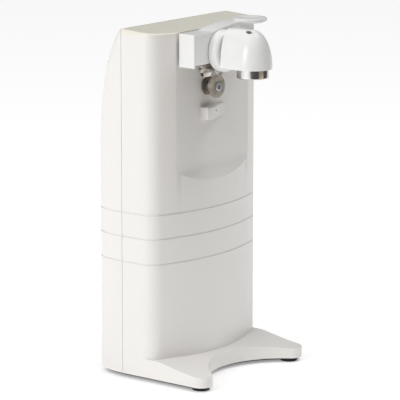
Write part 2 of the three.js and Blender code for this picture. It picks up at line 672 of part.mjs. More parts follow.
const EAR_THICK = 1.5;
const EAR_HEIGHT = 18;
const MOTOR_SCREW_X = 20;
const SLIDER_FRONT = CHASSIS_BACK + 11;
const SLIDER_THICK = 3;
const SWITCH_BOTTOM = LEVER_PIVOT_Z - 33;

function chassisPlate() {
  const earLeft = SWITCH_LEFT - GAP - EAR_THICK;
  const earBack = SLIDER_FRONT + SLIDER_THICK + 3.5;
  const half = CHASSIS_HALF_WIDTH;
  const main = box([-half, CHASSIS_FRONT, CHASSIS_BOTTOM], [half, CHASSIS_BACK, CHASSIS_TOP]);
  const tab = box([earLeft, CHASSIS_FRONT, SWITCH_BOTTOM], [1 - half, CHASSIS_BACK, CHASSIS_TOP]);
  const ear = box(
    [earLeft, CHASSIS_FRONT, SWITCH_BOTTOM],
    [SWITCH_LEFT - GAP, earBack, SWITCH_BOTTOM + EAR_HEIGHT],
  );
  const hole = (x, z, radius, segments) =>
    rodY(x, z, radius, CHASSIS_FRONT - 1, CHASSIS_BACK + 1, segments);
  const holes = [
    hole(DRIVE_X, DRIVE_Z, SHAFT_RADIUS + RUNNING, 24),
    hole(LEVER_PIVOT_X, LEVER_PIVOT_Z, SHAFT_RADIUS + RUNNING, 24),
    hole(IDLER_X, IDLER_Z, IDLER_POST_RADIUS + GAP, 20),
    hole(MOTOR_X - MOTOR_SCREW_X, MOTOR_Z, SCREW_RADIUS + GAP, 12),
    hole(MOTOR_X + MOTOR_SCREW_X, MOTOR_Z, SCREW_RADIUS + GAP, 12),
    ...CHASSIS_SCREWS.map(([x, z]) => hole(x, z, SCREW_RADIUS + GAP, 12)),
  ];
  return joinAll([main, tab, ear]).subtract(joinAll(holes));
}

function chassisScrew(x, z) {
  const seat = CHASSIS_BACK + GAP;
  const head = rodY(x, z, SCREW_HEAD_RADIUS - 0.4, seat, seat + 1.8, 16);
  const shank = rodY(x, z, SCREW_RADIUS, CHASSIS_FRONT - 5, seat + 0.5, 12);
  return head.add(shank);
}

// Fixed post that the idler turns on, headed in front of the chassis plate
function idlerPost() {
  const seat = CHASSIS_FRONT - GAP;
  const head = rodY(IDLER_X, IDLER_Z, IDLER_POST_RADIUS + 1.5, seat - 1.2, seat, 20);
  const rod = rodY(IDLER_X, IDLER_Z, IDLER_POST_RADIUS, seat - 0.5, IDLER_GEAR_BACK + 1.7);
  return head.add(rod);
}

// ---------------------------------------------------------------- motor

const STATOR_HALF_WIDTH = 25;
const STATOR_ABOVE = 24; // above the rotor axis
const ROTOR_RADIUS = 11.4;
const AIR_GAP = 0.6;
const WINDOW_TOP = 24; // below the rotor axis
const WINDOW_HEIGHT = 15;
const LIMB_HEIGHT = 12;
const COIL_BUILD = 4;

function motorScrewHoles(radius, y0, y1) {
  return [-MOTOR_SCREW_X, MOTOR_SCREW_X].map((dx) => rodY(MOTOR_X + dx, MOTOR_Z, radius, y0, y1, 12));
}

function statorCore() {
  const bottom = MOTOR_Z - WINDOW_TOP - WINDOW_HEIGHT - LIMB_HEIGHT;
  const frame = box(
    [MOTOR_X - STATOR_HALF_WIDTH, STACK_FRONT, bottom],
    [MOTOR_X + STATOR_HALF_WIDTH, STACK_BACK, MOTOR_Z + STATOR_ABOVE],
  );
  const window = box(
    [MOTOR_X - STATOR_HALF_WIDTH + 8, STACK_FRONT - 1, MOTOR_Z - WINDOW_TOP - WINDOW_HEIGHT],
    [MOTOR_X + STATOR_HALF_WIDTH - 8, STACK_BACK + 1, MOTOR_Z - WINDOW_TOP],
  );
  const bore = rodY(MOTOR_X, MOTOR_Z, ROTOR_RADIUS + AIR_GAP, STACK_FRONT - 1, STACK_BACK + 1, 24);
  const holes = motorScrewHoles(SCREW_RADIUS + GAP, STACK_FRONT - 1, STACK_BACK + 1);
  return frame.subtract(window).subtract(bore).subtract(joinAll(holes));
}

function fieldCoil() {
  const limbTop = MOTOR_Z - WINDOW_TOP - WINDOW_HEIGHT;
  const limbBottom = limbTop - LIMB_HEIGHT;
  const reach = STATOR_HALF_WIDTH - 8 - 1;
  const outline = (grow, halfLength) => box(
    [MOTOR_X - halfLength, STACK_FRONT - grow, limbBottom - grow],
    [MOTOR_X + halfLength, STACK_BACK + grow, limbTop + grow],
  );
  const flanges = outline(COIL_BUILD + 1.5, reach).subtract(outline(COIL_BUILD + 3, reach - 1.5));
  return outline(COIL_BUILD, reach - 0.5).add(flanges).subtract(outline(GAP, reach + 2));
}

function motorBracket(y0, bossFront, bossBack) {
  const strip = box(
    [MOTOR_X - STATOR_HALF_WIDTH + 1, y0, MOTOR_Z - 8],
    [MOTOR_X + STATOR_HALF_WIDTH - 1, y0 + BRACKET_THICK, MOTOR_Z + 8],
  );
  const boss = rodY(MOTOR_X, MOTOR_Z, 5, bossFront, bossBack, 24);
  const bore = rodY(MOTOR_X, MOTOR_Z, ROTOR_SHAFT_RADIUS + RUNNING, bossFront - 1, bossBack + 1, 24);
  const holes = motorScrewHoles(SCREW_RADIUS + GAP, y0 - 1, y0 + BRACKET_THICK + 1);
  return strip.add(boss).subtract(bore).subtract(joinAll(holes));
}

const FAN_RADIUS = 17;

function motorScrew(dx) {
  const seat = REAR_BRACKET_Y + BRACKET_THICK + GAP;
  const x = MOTOR_X + dx;
  const head = rodY(x, MOTOR_Z, SCREW_HEAD_RADIUS - 0.4, seat, seat + 1.4, 16);
  const shank = rodY(x, MOTOR_Z, SCREW_RADIUS, CHASSIS_FRONT - 1, seat + 0.5, 12);
  return head.add(shank);
}

function motorSpacer(dx) {
  const back = BRACKET_FRONT - GAP;
  return tubeY(MOTOR_X + dx, MOTOR_Z, 3.4, SCREW_RADIUS + GAP, CHASSIS_BACK + GAP, back, 20);
}

function rotorCore() {
  const front = STACK_FRONT + 0.6;
  const back = STACK_BACK - 0.6;
  return tubeY(MOTOR_X, MOTOR_Z, ROTOR_RADIUS, ROTOR_SHAFT_RADIUS + GAP, front, back, 24);
}

function rotorShaft() {
  return rodY(MOTOR_X, MOTOR_Z, ROTOR_SHAFT_RADIUS, IDLER_GEAR_FRONT - 1, ROTOR_SHAFT_BACK, 24);
}

function coolingFan() {
  const hub = rodY(MOTOR_X, MOTOR_Z, 4.5, FAN_FRONT, FAN_FRONT + FAN_DEPTH, 16);
  const blades = [];
  const count = 6;
  for (let i = 0; i < count; i += 1) {
    const blade = new THREE.BoxGeometry(FAN_RADIUS - 3, 1, 7);
    blade.rotateX(Math.PI / 7);
    blade.translate(3 + (FAN_RADIUS - 3) / 2, 0, 0);
    blade.rotateY((i * 2 * Math.PI) / count);
    blade.translate(MOTOR_X, FAN_FRONT + FAN_DEPTH / 2, MOTOR_Z);
    blades.push(solid(blade));
  }
  const slab = rodY(MOTOR_X, MOTOR_Z, FAN_RADIUS, FAN_FRONT, FAN_FRONT + FAN_DEPTH, 24);
  const boreBack = FAN_FRONT + FAN_DEPTH + 1;
  const bore = rodY(MOTOR_X, MOTOR_Z, ROTOR_SHAFT_RADIUS + GAP, FAN_FRONT - 1, boreBack, 20);
  return joinAll(blades).intersect(slab).add(hub).subtract(bore);
}

// ---------------------------------------------------------------- cutting lever

const LEVER_RIGHT = 2; // right end of the lever's deep block
const ARM_RIGHT = PADDLE_X + 2.8;
const ARM_BOTTOM = LEVER_TOP - 6.6;
const SHAFT_FRONT = LEVER_FRONT + 2.8; // blind end of the lever's shaft
const CRANK_THICK = 2;
const CRANK_FRONT = SLIDER_FRONT - 1.1 - CRANK_THICK;
const CRANK_PIN_RADIUS = 1.2;
const PIN_BACK = SLIDER_FRONT + SLIDER_THICK + 1.5;

function leverArm() {
  const paddleLow = PADDLE_TOP - PADDLE_THICK;
  const side = new THREE.Shape();
  side.moveTo(LEVER_LEFT, LEVER_BOTTOM - LEVER_LIP);
  side.lineTo(LEVER_LEFT + 2, LEVER_BOTTOM - LEVER_LIP);
  side.lineTo(LEVER_LEFT + 2, LEVER_BOTTOM);
  side.lineTo(LEVER_RIGHT, LEVER_BOTTOM);
  side.quadraticCurveTo(LEVER_RIGHT + 6, ARM_BOTTOM, LEVER_RIGHT + 14, ARM_BOTTOM);
  side.lineTo(ARM_RIGHT, ARM_BOTTOM);
  side.lineTo(ARM_RIGHT, PADDLE_TOP - 1);
  side.lineTo(PADDLE_X - PADDLE_RADIUS, PADDLE_TOP - 1);
  side.quadraticCurveTo(-2, PADDLE_TOP - 1.4, LEVER_RIGHT - 20, LEVER_TOP);
  side.lineTo(LEVER_LEFT + 1, LEVER_TOP);
  side.lineTo(LEVER_LEFT, LEVER_TOP - 1);
  side.closePath();
  const bar = extrudeY(side, LEVER_FRONT, LEVER_BACK, 10);
  const paddle = rodZ(PADDLE_X, PADDLE_Y, PADDLE_RADIUS, paddleLow, PADDLE_TOP, 32);
  const bore = rodY(LEVER_PIVOT_X, LEVER_PIVOT_Z, SHAFT_RADIUS + GAP, SHAFT_FRONT - GAP, LEVER_BACK + 1);
  const hubHole = rodY(HUB_X, HUB_Z, HUB_SPIGOT + GAP, LEVER_FRONT - 1, LEVER_FRONT + 5, 24);
  const screwHole = SCREW_RADIUS + GAP;
  const cutterHole = rodY(CUTTER_SCREW_X, CUTTER_SCREW_Z, screwHole, LEVER_FRONT - 1, LEVER_BACK + 1, 12);
  return bar.add(paddle).subtract(bore).subtract(hubHole).subtract(cutterHole).add(cutterMount());
}

function leverShaft() {
  return rodY(LEVER_PIVOT_X, LEVER_PIVOT_Z, SHAFT_RADIUS, SHAFT_FRONT, CRANK_FRONT + CRANK_THICK + 1);
}

function leverCrank() {
  const pinX = LEVER_PIVOT_X - CRANK_LENGTH;
  const back = CRANK_FRONT + CRANK_THICK;
  const eye = rodY(LEVER_PIVOT_X, LEVER_PIVOT_Z, SHAFT_RADIUS + 2.5, CRANK_FRONT, back, 28);
  const web = box(
    [pinX, CRANK_FRONT, LEVER_PIVOT_Z - 2.4],
    [LEVER_PIVOT_X, back, LEVER_PIVOT_Z + 2.4],
  );
  const end = rodY(pinX, LEVER_PIVOT_Z, 2.4, CRANK_FRONT, back, 20);
  const pin = rodY(pinX, LEVER_PIVOT_Z, CRANK_PIN_RADIUS, CRANK_FRONT + 0.5, PIN_BACK, 16);
  const bore = rodY(LEVER_PIVOT_X, LEVER_PIVOT_Z, SHAFT_RADIUS + GAP, CRANK_FRONT - 1, back + 1);
  return joinAll([eye, web, end, pin]).subtract(bore);
}

// ---------------------------------------------------------------- cutter and rim guide

const CUTTER_FRONT = WHEEL_FRONT - 2.6;
const CUTTER_THICK = 1.2;
const CUTTER_TIP_X = DRIVE_X - 1;
const CUTTER_TIP_Z = DRIVE_Z + 7.6;
const CUTTER_TOP = LEVER_BOTTOM - 0.3;
const CUTTER_SCREW_X = CUTTER_TIP_X - 5.4;
const CUTTER_SCREW_Z = LEVER_BOTTOM - 5.1;
const HUB_SPIGOT = 4;
const GUIDE_RIGHT = CUTTER_SCREW_X + 3.8;
const GUIDE_LEFT = GUIDE_RIGHT - 17.2;
const GUIDE_FRONT = WHEEL_FRONT + 0.4;
const GUIDE_THICK = 1.4;
const CURL_RADIUS = 2.3;
const CURL_THICK = 1;
const GUIDE_BOTTOM = LEVER_BOTTOM - 10.1;
const GUIDE_TOP = LEVER_BOTTOM - 0.5;

// Web under the lever that the cutter and the rim guide are screwed to
function cutterMount() {
  const back = GUIDE_FRONT + GUIDE_THICK + GAP;
  const web = box(
    [CUTTER_SCREW_X - 4, back, CUTTER_SCREW_Z - 3.4],
    [CUTTER_SCREW_X + 4, LEVER_BACK - 1, LEVER_BOTTOM + 1],
  );
  const hole = rodY(CUTTER_SCREW_X, CUTTER_SCREW_Z, SCREW_RADIUS + GAP, back - 1, back + 4.5, 12);
  return web.subtract(hole);
}

function cutterPlate() {
  const back = CUTTER_FRONT + CUTTER_THICK;
  const blade = polygon([
    [CUTTER_SCREW_X - 4, CUTTER_TOP - 0.2],
    [CUTTER_SCREW_X - 4, CUTTER_SCREW_Z - 2],
    [CUTTER_TIP_X - 1.2, CUTTER_TIP_Z + 0.5],
    [CUTTER_TIP_X, CUTTER_TIP_Z],
    [CUTTER_TIP_X + 1.2, CUTTER_TIP_Z + 1],
    [CUTTER_TIP_X + 8, CUTTER_TOP - 2.6],
    [CUTTER_TIP_X + 8, CUTTER_TOP - 0.2],
  ]);
  const hole = rodY(CUTTER_SCREW_X, CUTTER_SCREW_Z, SCREW_RADIUS + GAP, CUTTER_FRONT - 1, back + 1, 16);
  return extrudeY(blade, CUTTER_FRONT, back).subtract(hole);
}

function cutterScrew() {
  const seat = CUTTER_FRONT - GAP;
  const head = rodY(CUTTER_SCREW_X, CUTTER_SCREW_Z, 3.1, seat - 2, seat, 28);
  const end = GUIDE_FRONT + GUIDE_THICK + 4;
  const shank = rodY(CUTTER_SCREW_X, CUTTER_SCREW_Z, SCREW_RADIUS, seat - 0.5, end, 12);
  const slot = box(
    [CUTTER_SCREW_X - 4, seat - 3, CUTTER_SCREW_Z - 0.4],
    [CUTTER_SCREW_X + 4, seat - 1.1, CUTTER_SCREW_Z + 0.4],
  );
  return head.add(shank).subtract(slot);
}

// Steel tab behind the blade: its left edge curls forward and its lower right corner is cut away
function rimGuide() {
  const back = GUIDE_FRONT + GUIDE_THICK;
  const curlY = GUIDE_FRONT + GUIDE_THICK - CURL_RADIUS;
  const curlInner = CURL_RADIUS - CURL_THICK;
  const tab = box([GUIDE_LEFT, GUIDE_FRONT, GUIDE_BOTTOM], [GUIDE_RIGHT, back, GUIDE_TOP]);
  const curl = new THREE.Shape();
  curl.absarc(GUIDE_LEFT, curlY, CURL_RADIUS, Math.PI / 2, Math.PI * 1.5, false);
  curl.lineTo(GUIDE_LEFT, curlY - curlInner);
  curl.absarc(GUIDE_LEFT, curlY, curlInner, Math.PI * 1.5, Math.PI / 2, true);
  curl.closePath();
  const rolled = extrudeZ(curl, GUIDE_BOTTOM, GUIDE_TOP - 2, 8);
  const hole = rodY(CUTTER_SCREW_X, CUTTER_SCREW_Z, SCREW_RADIUS + GAP, GUIDE_FRONT - 1, back + 1, 16);
  const notch = box(
    [GUIDE_RIGHT - 4.5, GUIDE_FRONT - 1, GUIDE_BOTTOM - 1],
    [GUIDE_RIGHT + 1, back + 1, CUTTER_SCREW_Z - 3.4],
  );
  return tab.add(rolled).subtract(hole).subtract(notch);
}

// Washer that holds the blade off the rim guide
function cutterSpacer() {
  const front = CUTTER_FRONT + CUTTER_THICK + GAP;
  return tubeY(CUTTER_SCREW_X, CUTTER_SCREW_Z, 3, SCREW_RADIUS + GAP, front, GUIDE_FRONT - GAP, 24);
}

// ---------------------------------------------------------------- hub, hood and magnet

const LUG_HALF_WIDTH = 3;
const LUG_RADIUS = 2.8;
const HINGE_PIN_RADIUS = 1.5;
const HINGE_PIN_HALF = 6.2;

function hub() {
  const back = LEVER_FRONT - GAP;
  const barrel = rodY(HUB_X, HUB_Z, HUB_RADIUS, HUB_FRONT, back, 36);
  const neck = rodY(HUB_X, HUB_Z, NECK_RADIUS, NECK_FRONT, HUB_FRONT + 1, 24);
  const spigot = rodY(HUB_X, HUB_Z, HUB_SPIGOT, back - 1, LEVER_FRONT + 4, 24);
  const shank = box(
    [HUB_X - LUG_HALF_WIDTH, HINGE_Y, HINGE_Z - LUG_RADIUS],
    [HUB_X + LUG_HALF_WIDTH, HUB_FRONT + 1, HINGE_Z + LUG_RADIUS - 1.7],
  );
  const eye = rodX(HINGE_Y, HINGE_Z, LUG_RADIUS, HUB_X - LUG_HALF_WIDTH, HUB_X + LUG_HALF_WIDTH);
  const hole = rodX(HINGE_Y, HINGE_Z, HINGE_PIN_RADIUS + RUNNING, HUB_X - 10, HUB_X + 10);
  return joinAll([barrel, neck, spigot, shank, eye]).subtract(hole);
}

// Half-ellipse arch carried along Y and closed in front by half a dome
function hoodForm(inset, back) {
  const radius = HOOD_RADIUS - inset;
  const height = HOOD_HEIGHT - inset;
  const low = inset > 0 ? HOOD_BOTTOM - 1 : HOOD_BOTTOM;
  const arch = new THREE.Shape();
  arch.moveTo(HUB_X - radius, low);
  arch.lineTo(HUB_X + radius, low);
  arch.absellipse(HUB_X, HOOD_BOTTOM, radius, height, 0, Math.PI, false, 0);
  arch.closePath();
  const barrel = extrudeY(arch, MAGNET_Y, back, 7);
  const dome = new THREE.SphereGeometry(1, 28, 14);
  dome.rotateX(Math.PI / 2);
  dome.scale(radius, radius, height);
  dome.translate(HUB_X, MAGNET_Y, HOOD_BOTTOM);
  const reach = HOOD_RADIUS + 1;
  const above = box([HUB_X - reach, MAGNET_Y - reach, HOOD_BOTTOM], [HUB_X + reach, back, HOOD_BOTTOM + 40]);
  const cap = solid(dome).intersect(above);
  if (inset === 0) {
    return barrel.add(cap);
  }
  return barrel.add(cap).add(rodZ(HUB_X, MAGNET_Y, radius, low, HOOD_BOTTOM + 0.5, 28));
}

const WEB_LOW = HOOD_BOTTOM + 6;
const WEB_THICK = 2.2;
const STEM_RADIUS = 2;

function magnetHood() {
  const shell = hoodForm(0, HOOD_BACK_TOP).subtract(hoodForm(HOOD_WALL, HOOD_BACK_TOP - HOOD_WALL - 1.7));
  const trim = polygon([
    [HOOD_BACK_TOP + 2, HOOD_BOTTOM - 2],
    [HOOD_BACK, HOOD_BOTTOM - 2],
    [HOOD_BACK, HOOD_BOTTOM + 16],
    [HOOD_BACK_TOP, HOOD_BOTTOM + 23],
    [HOOD_BACK_TOP + 2, HOOD_BOTTOM + 23],
  ]);
  const backCut = extrudeX(trim, HUB_X - HOOD_RADIUS - 1, HUB_X + HOOD_RADIUS + 1);
  const backWall = box(
    [HUB_X - HOOD_RADIUS, HOOD_BACK - HOOD_WALL, HOOD_BOTTOM + 1],
    [HUB_X + HOOD_RADIUS, HOOD_BACK_TOP, HOOD_BOTTOM + HOOD_HEIGHT],
  ).intersect(hoodForm(0, HOOD_BACK_TOP));
  const web = box(
    [HUB_X - HOOD_RADIUS, MAGNET_Y - HOOD_RADIUS, WEB_LOW],
    [HUB_X + HOOD_RADIUS, HOOD_BACK - 1, WEB_LOW + WEB_THICK],
  ).intersect(hoodForm(0.5, HOOD_BACK_TOP));
  const cheeks = [-1, 1].map((side) => {
    const inner = HUB_X + side * (LUG_HALF_WIDTH + 0.6);
    const outer = HUB_X + side * (LUG_HALF_WIDTH + 3.4);
    return box(
      [Math.min(inner, outer), HINGE_Y - 3, HINGE_Z - 3],
      [Math.max(inner, outer), HOOD_BACK - 0.5, HINGE_Z + 6],
    ).intersect(hoodForm(0.5, HOOD_BACK_TOP));
  });
  const slot = box(
    [HUB_X - LUG_HALF_WIDTH - 0.6, HOOD_BACK - HOOD_WALL - 1, HINGE_Z - 6.5],
    [HUB_X + LUG_HALF_WIDTH + 0.6, HOOD_BACK_TOP + 1, HINGE_Z + 3.5],
  );
  const pinEnd = HINGE_PIN_HALF + GAP;
  const pinHole = rodX(HINGE_Y, HINGE_Z, HINGE_PIN_RADIUS + GAP, HUB_X - pinEnd, HUB_X + pinEnd);
  const stemHole = rodZ(HUB_X, MAGNET_Y, STEM_RADIUS + SLIDING, WEB_LOW - 1, WEB_LOW + WEB_THICK + 1, 24);
  const dimple = new THREE.SphereGeometry(1, 14, 8);
  dimple.scale(3.4, 3, 1.6);
  dimple.translate(HUB_X, MAGNET_Y + 4, HOOD_BOTTOM + HOOD_HEIGHT);
  return joinAll([shell, backWall, web, ...cheeks])
    .subtract(backCut)
    .subtract(slot)
    .subtract(pinHole)
    .subtract(stemHole)
    .subtract(solid(dimple));
}

function hingePin() {
  return rodX(HINGE_Y, HINGE_Z, HINGE_PIN_RADIUS, HUB_X - HINGE_PIN_HALF, HUB_X + HINGE_PIN_HALF);
}

function magnet() {
  const top = MAGNET_BOTTOM + MAGNET_HEIGHT;
  const profile = [
    [0, MAGNET_BOTTOM],
    [MAGNET_RADIUS - 0.6, MAGNET_BOTTOM],
    [MAGNET_RADIUS, MAGNET_BOTTOM + 0.6],
    [MAGNET_RADIUS, top],
    [0, top],
  ].map(([radius, z]) => new THREE.Vector2(radius, z));
  const body = new THREE.LatheGeometry(profile, 32);
  body.rotateX(Math.PI / 2);
  body.translate(HUB_X, MAGNET_Y, 0);
  const socket = rodZ(HUB_X, MAGNET_Y, STEM_RADIUS + GAP, MAGNET_BOTTOM + 3, top + 1, 24);
  return solid(body).subtract(socket);
}

function magnetStem() {
  return rodZ(HUB_X, MAGNET_Y, STEM_RADIUS, MAGNET_BOTTOM + 3 + GAP, WEB_LOW + WEB_THICK + 3, 24);
}

function stemClip() {
  const low = WEB_LOW + WEB_THICK + GAP;
  const ring = rodZ(HUB_X, MAGNET_Y, 4.4, low, low + 1, 24);
  return ring.subtract(rodZ(HUB_X, MAGNET_Y, STEM_RADIUS + GAP, low - 1, low + 2, 24));
}

// ---------------------------------------------------------------- switch

const SLIDER_HALF_WIDTH = 3.2;
const SLIDER_BOTTOM = SWITCH_BOTTOM + 8;
const SWITCH_TOP = SWITCH_BOTTOM + 16;

function switchBody() {
  const pinX = LEVER_PIVOT_X - CRANK_LENGTH;
  const shell = box(
    [SWITCH_LEFT, SLIDER_FRONT - 3, SWITCH_BOTTOM],
    [pinX + 6, SLIDER_FRONT + SLIDER_THICK + 3, SWITCH_TOP],
  );
  const channel = box(
    [pinX - SLIDER_HALF_WIDTH - SLIDING, SLIDER_FRONT - SLIDING, SWITCH_BOTTOM + 2],
    [pinX + SLIDER_HALF_WIDTH + SLIDING, SLIDER_FRONT + SLIDER_THICK + SLIDING, SWITCH_TOP + 1],
  );
  return shell.subtract(channel);
}

function switchSlider() {
  const pinX = LEVER_PIVOT_X - CRANK_LENGTH;
  const bar = box(
    [pinX - SLIDER_HALF_WIDTH, SLIDER_FRONT, SLIDER_BOTTOM],
    [pinX + SLIDER_HALF_WIDTH, SLIDER_FRONT + SLIDER_THICK, LEVER_PIVOT_Z + 3.5],
  );
  const slotHalf = CRANK_PIN_RADIUS + 0.45;
  const slot = box(
    [pinX - 1.4 - SLIDING, SLIDER_FRONT - 1, LEVER_PIVOT_Z - slotHalf],
    [pinX + 2 + SLIDING, SLIDER_FRONT + SLIDER_THICK + 1, LEVER_PIVOT_Z + slotHalf],
  );
  return bar.subtract(slot);
}

// ---------------------------------------------------------------- assembly

function body(pieces) {
  const group = new THREE.Group();
  for (const piece of pieces) {
    group.add(piece);
  }
  return group;
}

function housingBody() {
  const frontBracket = motorBracket(BRACKET_FRONT, BRACKET_FRONT - 0.8, BRACKET_FRONT + BRACKET_THICK);
  const rearBracket = motorBracket(REAR_BRACKET_Y, REAR_BRACKET_Y, REAR_BRACKET_Y + BRACKET_THICK + 1);
  const idlerClip = retainingClip(IDLER_X, IDLER_Z, IDLER_POST_RADIUS, IDLER_GEAR_BACK + 0.5);
  return body([
    node('front_housing', frontHousing(), whitePlastic),
    node('rear_cover', rearCover(), whitePlastic),
    node('base_plate', basePlate(), blackPlastic),
    node('cord_gland', cordGland(), blackRubber),
    ...PADS.map(([place, x, y]) => node(`foot_pad_${place}`, pad(x, y), blackRubber)),
    ...coverScrewPlaces().map(([x, z], i) => node(`cover_screw_${i + 1}`, coverScrew(x, z), zincSteel)),
    node('drive_bush', shaftBush(DRIVE_X, DRIVE_Z), bronze),
    node('lever_bush', shaftBush(LEVER_PIVOT_X, LEVER_PIVOT_Z), bronze),
    node('chassis_plate', chassisPlate(), zincSteel),
    ...CHASSIS_SCREWS.map(([x, z], i) => node(`chassis_screw_${i + 1}`, chassisScrew(x, z), zincSteel)),
    node('idler_post', idlerPost(), zincSteel),
    node('idler_clip', idlerClip, zincSteel),
    node('stator_core', statorCore(), laminations),
    node('field_coil', fieldCoil(), copper),
    node('motor_bracket_front', frontBracket, zincSteel),
    node('motor_bracket_rear', rearBracket, zincSteel),
    node('motor_screw_left', motorScrew(-MOTOR_SCREW_X), zincSteel),
    node('motor_screw_right', motorScrew(MOTOR_SCREW_X), zincSteel),
    node('motor_spacer_left', motorSpacer(-MOTOR_SCREW_X), zincSteel),
    node('motor_spacer_right', motorSpacer(MOTOR_SCREW_X), zincSteel),
    node('switch_body', switchBody(), switchPlastic),
  ]);
}

function rotorBody() {
  return body([
    node('rotor_core', rotorCore(), laminations),
    node('rotor_shaft', rotorShaft(), zincSteel),
    node('motor_pinion', motorPinion(), bronze),
    node('cooling_fan', coolingFan(), blackPlastic),
  ]);
}

function driveBody() {
  return body([
    node('drive_wheel', driveWheel(), toolSteel),
    node('wheel_screw', wheelScrew(), zincSteel),
    node('drive_shaft', driveShaft(), zincSteel),
    node('drive_gear', driveGear(), gearNylon),
    node('drive_clip', retainingClip(DRIVE_X, DRIVE_Z, SHAFT_RADIUS, DRIVE_GEAR_BACK + 0.3), zincSteel),
  ]);
}

function leverBody() {
  return body([
    node('lever_arm', leverArm(), whitePlastic),
    node('lever_shaft', leverShaft(), zincSteel),
    node('lever_crank', leverCrank(), zincSteel),
    node('cutter_plate', cutterPlate(), brushedSteel),
    node('cutter_spacer', cutterSpacer(), zincSteel),
    node('cutter_screw', cutterScrew(), zincSteel),
    node('rim_guide', rimGuide(), brushedSteel),
    node('magnet_hub', hub(), whitePlastic),
  ]);
}

function hoodBody() {
  return body([node('magnet_hood', magnetHood(), whitePlastic), node('hinge_pin', hingePin(), zincSteel)]);
}

function magnetBody() {
  return body([
    node('magnet', magnet(), chrome),
    node('magnet_stem', magnetStem(), zincSteel),
    node('stem_clip', stemClip(), zincSteel),
  ]);
}

const group = new THREE.Group();
group.add(housingBody());
group.add(rotorBody());
group.add(body([node('idler_gear', idlerGear(), gearNylon)]));
group.add(driveBody());
group.add(leverBody());
group.add(hoodBody());
group.add(magnetBody());
group.add(body([node('switch_slider', switchSlider(), switchPlastic)]));

// The hood's nose and the cord gland are the furthest points along Y
const frontReach = MAGNET_Y - HOOD_RADIUS;
const rearReach = REAR_DEPTH + 1.6;
group.position.y = -(frontReach + rearReach) / 2;

export default group;
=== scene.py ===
# %% [markdown]
# # A tall electric can opener
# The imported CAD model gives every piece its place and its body. This lesson keeps that frame, hides the
# rough outer solids and puts finished shapes in their place: rounded shells, a swept lever, a domed
# magnet hood and a toothed wheel. Every piece rides on a body, so all the joints still work.

# %% Load the frame
import json
import math

import bmesh
import bpy
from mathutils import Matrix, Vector


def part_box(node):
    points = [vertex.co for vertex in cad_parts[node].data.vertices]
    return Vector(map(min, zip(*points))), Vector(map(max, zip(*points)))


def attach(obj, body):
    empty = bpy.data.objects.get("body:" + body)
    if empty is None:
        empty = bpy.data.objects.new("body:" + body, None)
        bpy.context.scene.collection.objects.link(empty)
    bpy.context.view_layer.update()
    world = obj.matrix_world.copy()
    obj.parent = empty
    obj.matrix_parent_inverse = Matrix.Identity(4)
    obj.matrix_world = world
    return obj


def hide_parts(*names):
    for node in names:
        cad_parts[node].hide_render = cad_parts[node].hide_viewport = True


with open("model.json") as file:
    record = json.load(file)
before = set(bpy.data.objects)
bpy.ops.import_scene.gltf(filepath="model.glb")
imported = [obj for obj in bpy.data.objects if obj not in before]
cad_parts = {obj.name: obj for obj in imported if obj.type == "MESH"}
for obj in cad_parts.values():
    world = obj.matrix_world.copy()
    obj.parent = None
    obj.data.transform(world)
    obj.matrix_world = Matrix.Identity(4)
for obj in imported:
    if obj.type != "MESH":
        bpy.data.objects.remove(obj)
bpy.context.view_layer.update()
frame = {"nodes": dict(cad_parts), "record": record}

MM = 0.001

# %% [markdown]
# The drawing frame is the one a maker would use: millimetres, x from the middle of the opener, z up
# from the table, and y counted from the seam between the two housing shells, with the front at -y.
# One number, the seam's place in the frame, turns it into Blender's metres.

# %% Drawing frame
SEAM_GAP = 0.3
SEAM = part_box("front_housing")[1].y / MM + SEAM_GAP / 2


def low(node):
    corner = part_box(node)[0] / MM
    return Vector((corner.x, corner.y - SEAM, corner.z))


def high(node):
    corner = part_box(node)[1] / MM
    return Vector((corner.x, corner.y - SEAM, corner.z))


def centre_of(node):
    return (low(node) + high(node)) / 2


def spot_of(node, axis="Y"):
    """A node's centre as the two numbers that a lathe along that axis needs."""
    middle = centre_of(node)
    return {"X": (middle.y, middle.z), "Y": (middle.x, middle.z), "Z": (middle.x, middle.y)}[axis]


HEIGHT = high("front_housing").z
BASE = low("front_housing").z
HALF_WIDTH = round(high("rear_cover").x, 1)
REAR_DEPTH = high("rear_cover").y
WALL = 2.5
print("height", round(HEIGHT, 2), "half width", HALF_WIDTH, "rear depth", round(REAR_DEPTH, 2))

# %% [markdown]
# Meshes are written from points and faces. Three ways of making them cover nearly every piece here:
# a loft skins a stack of rings, a prism is a loft of two equal rings, and a lathe turns a profile
# about an axis. All three come out closed, so booleans stay clean. The rest
# draws outlines for them: rectangles, rounded corners, arcs and curves.


# %% Mesh builders
WELD = 0.0005


def solid(name, points, faces):
    """A closed mesh from points in the drawing frame."""
    bm = bmesh.new()
    verts = [bm.verts.new((x * MM, (y + SEAM) * MM, z * MM)) for x, y, z in points]
    for face in faces:
        bm.faces.new([verts[i] for i in face])
    bmesh.ops.remove_doubles(bm, verts=bm.verts, dist=WELD * MM)
    bmesh.ops.recalc_face_normals(bm, faces=bm.faces)
    mesh = bpy.data.meshes.new(name)
    bm.to_mesh(mesh)
    bm.free()
    made = bpy.data.objects.new(name, mesh)
    bpy.context.scene.collection.objects.link(made)
    return made


def loft(name, rings):
    """Quads between neighbouring rings of equal length, and a flat cap on each end."""
    count = len(rings[0])
    points = [point for ring in rings for point in ring]
    faces = [list(range(count)), list(range(len(points) - count, len(points)))]
    for r in range(len(rings) - 1):
        for i in range(count):
            j = (i + 1) % count
            a, b = r * count, (r + 1) * count
            faces.append([a + i, a + j, b + j, b + i])
    return solid(name, points, faces)


def placed(axis, a, b, along):
    """A place along an axis and two numbers across it, as x, y, z."""
    return {"X": (along, a, b), "Y": (a, along, b), "Z": (a, b, along)}[axis]


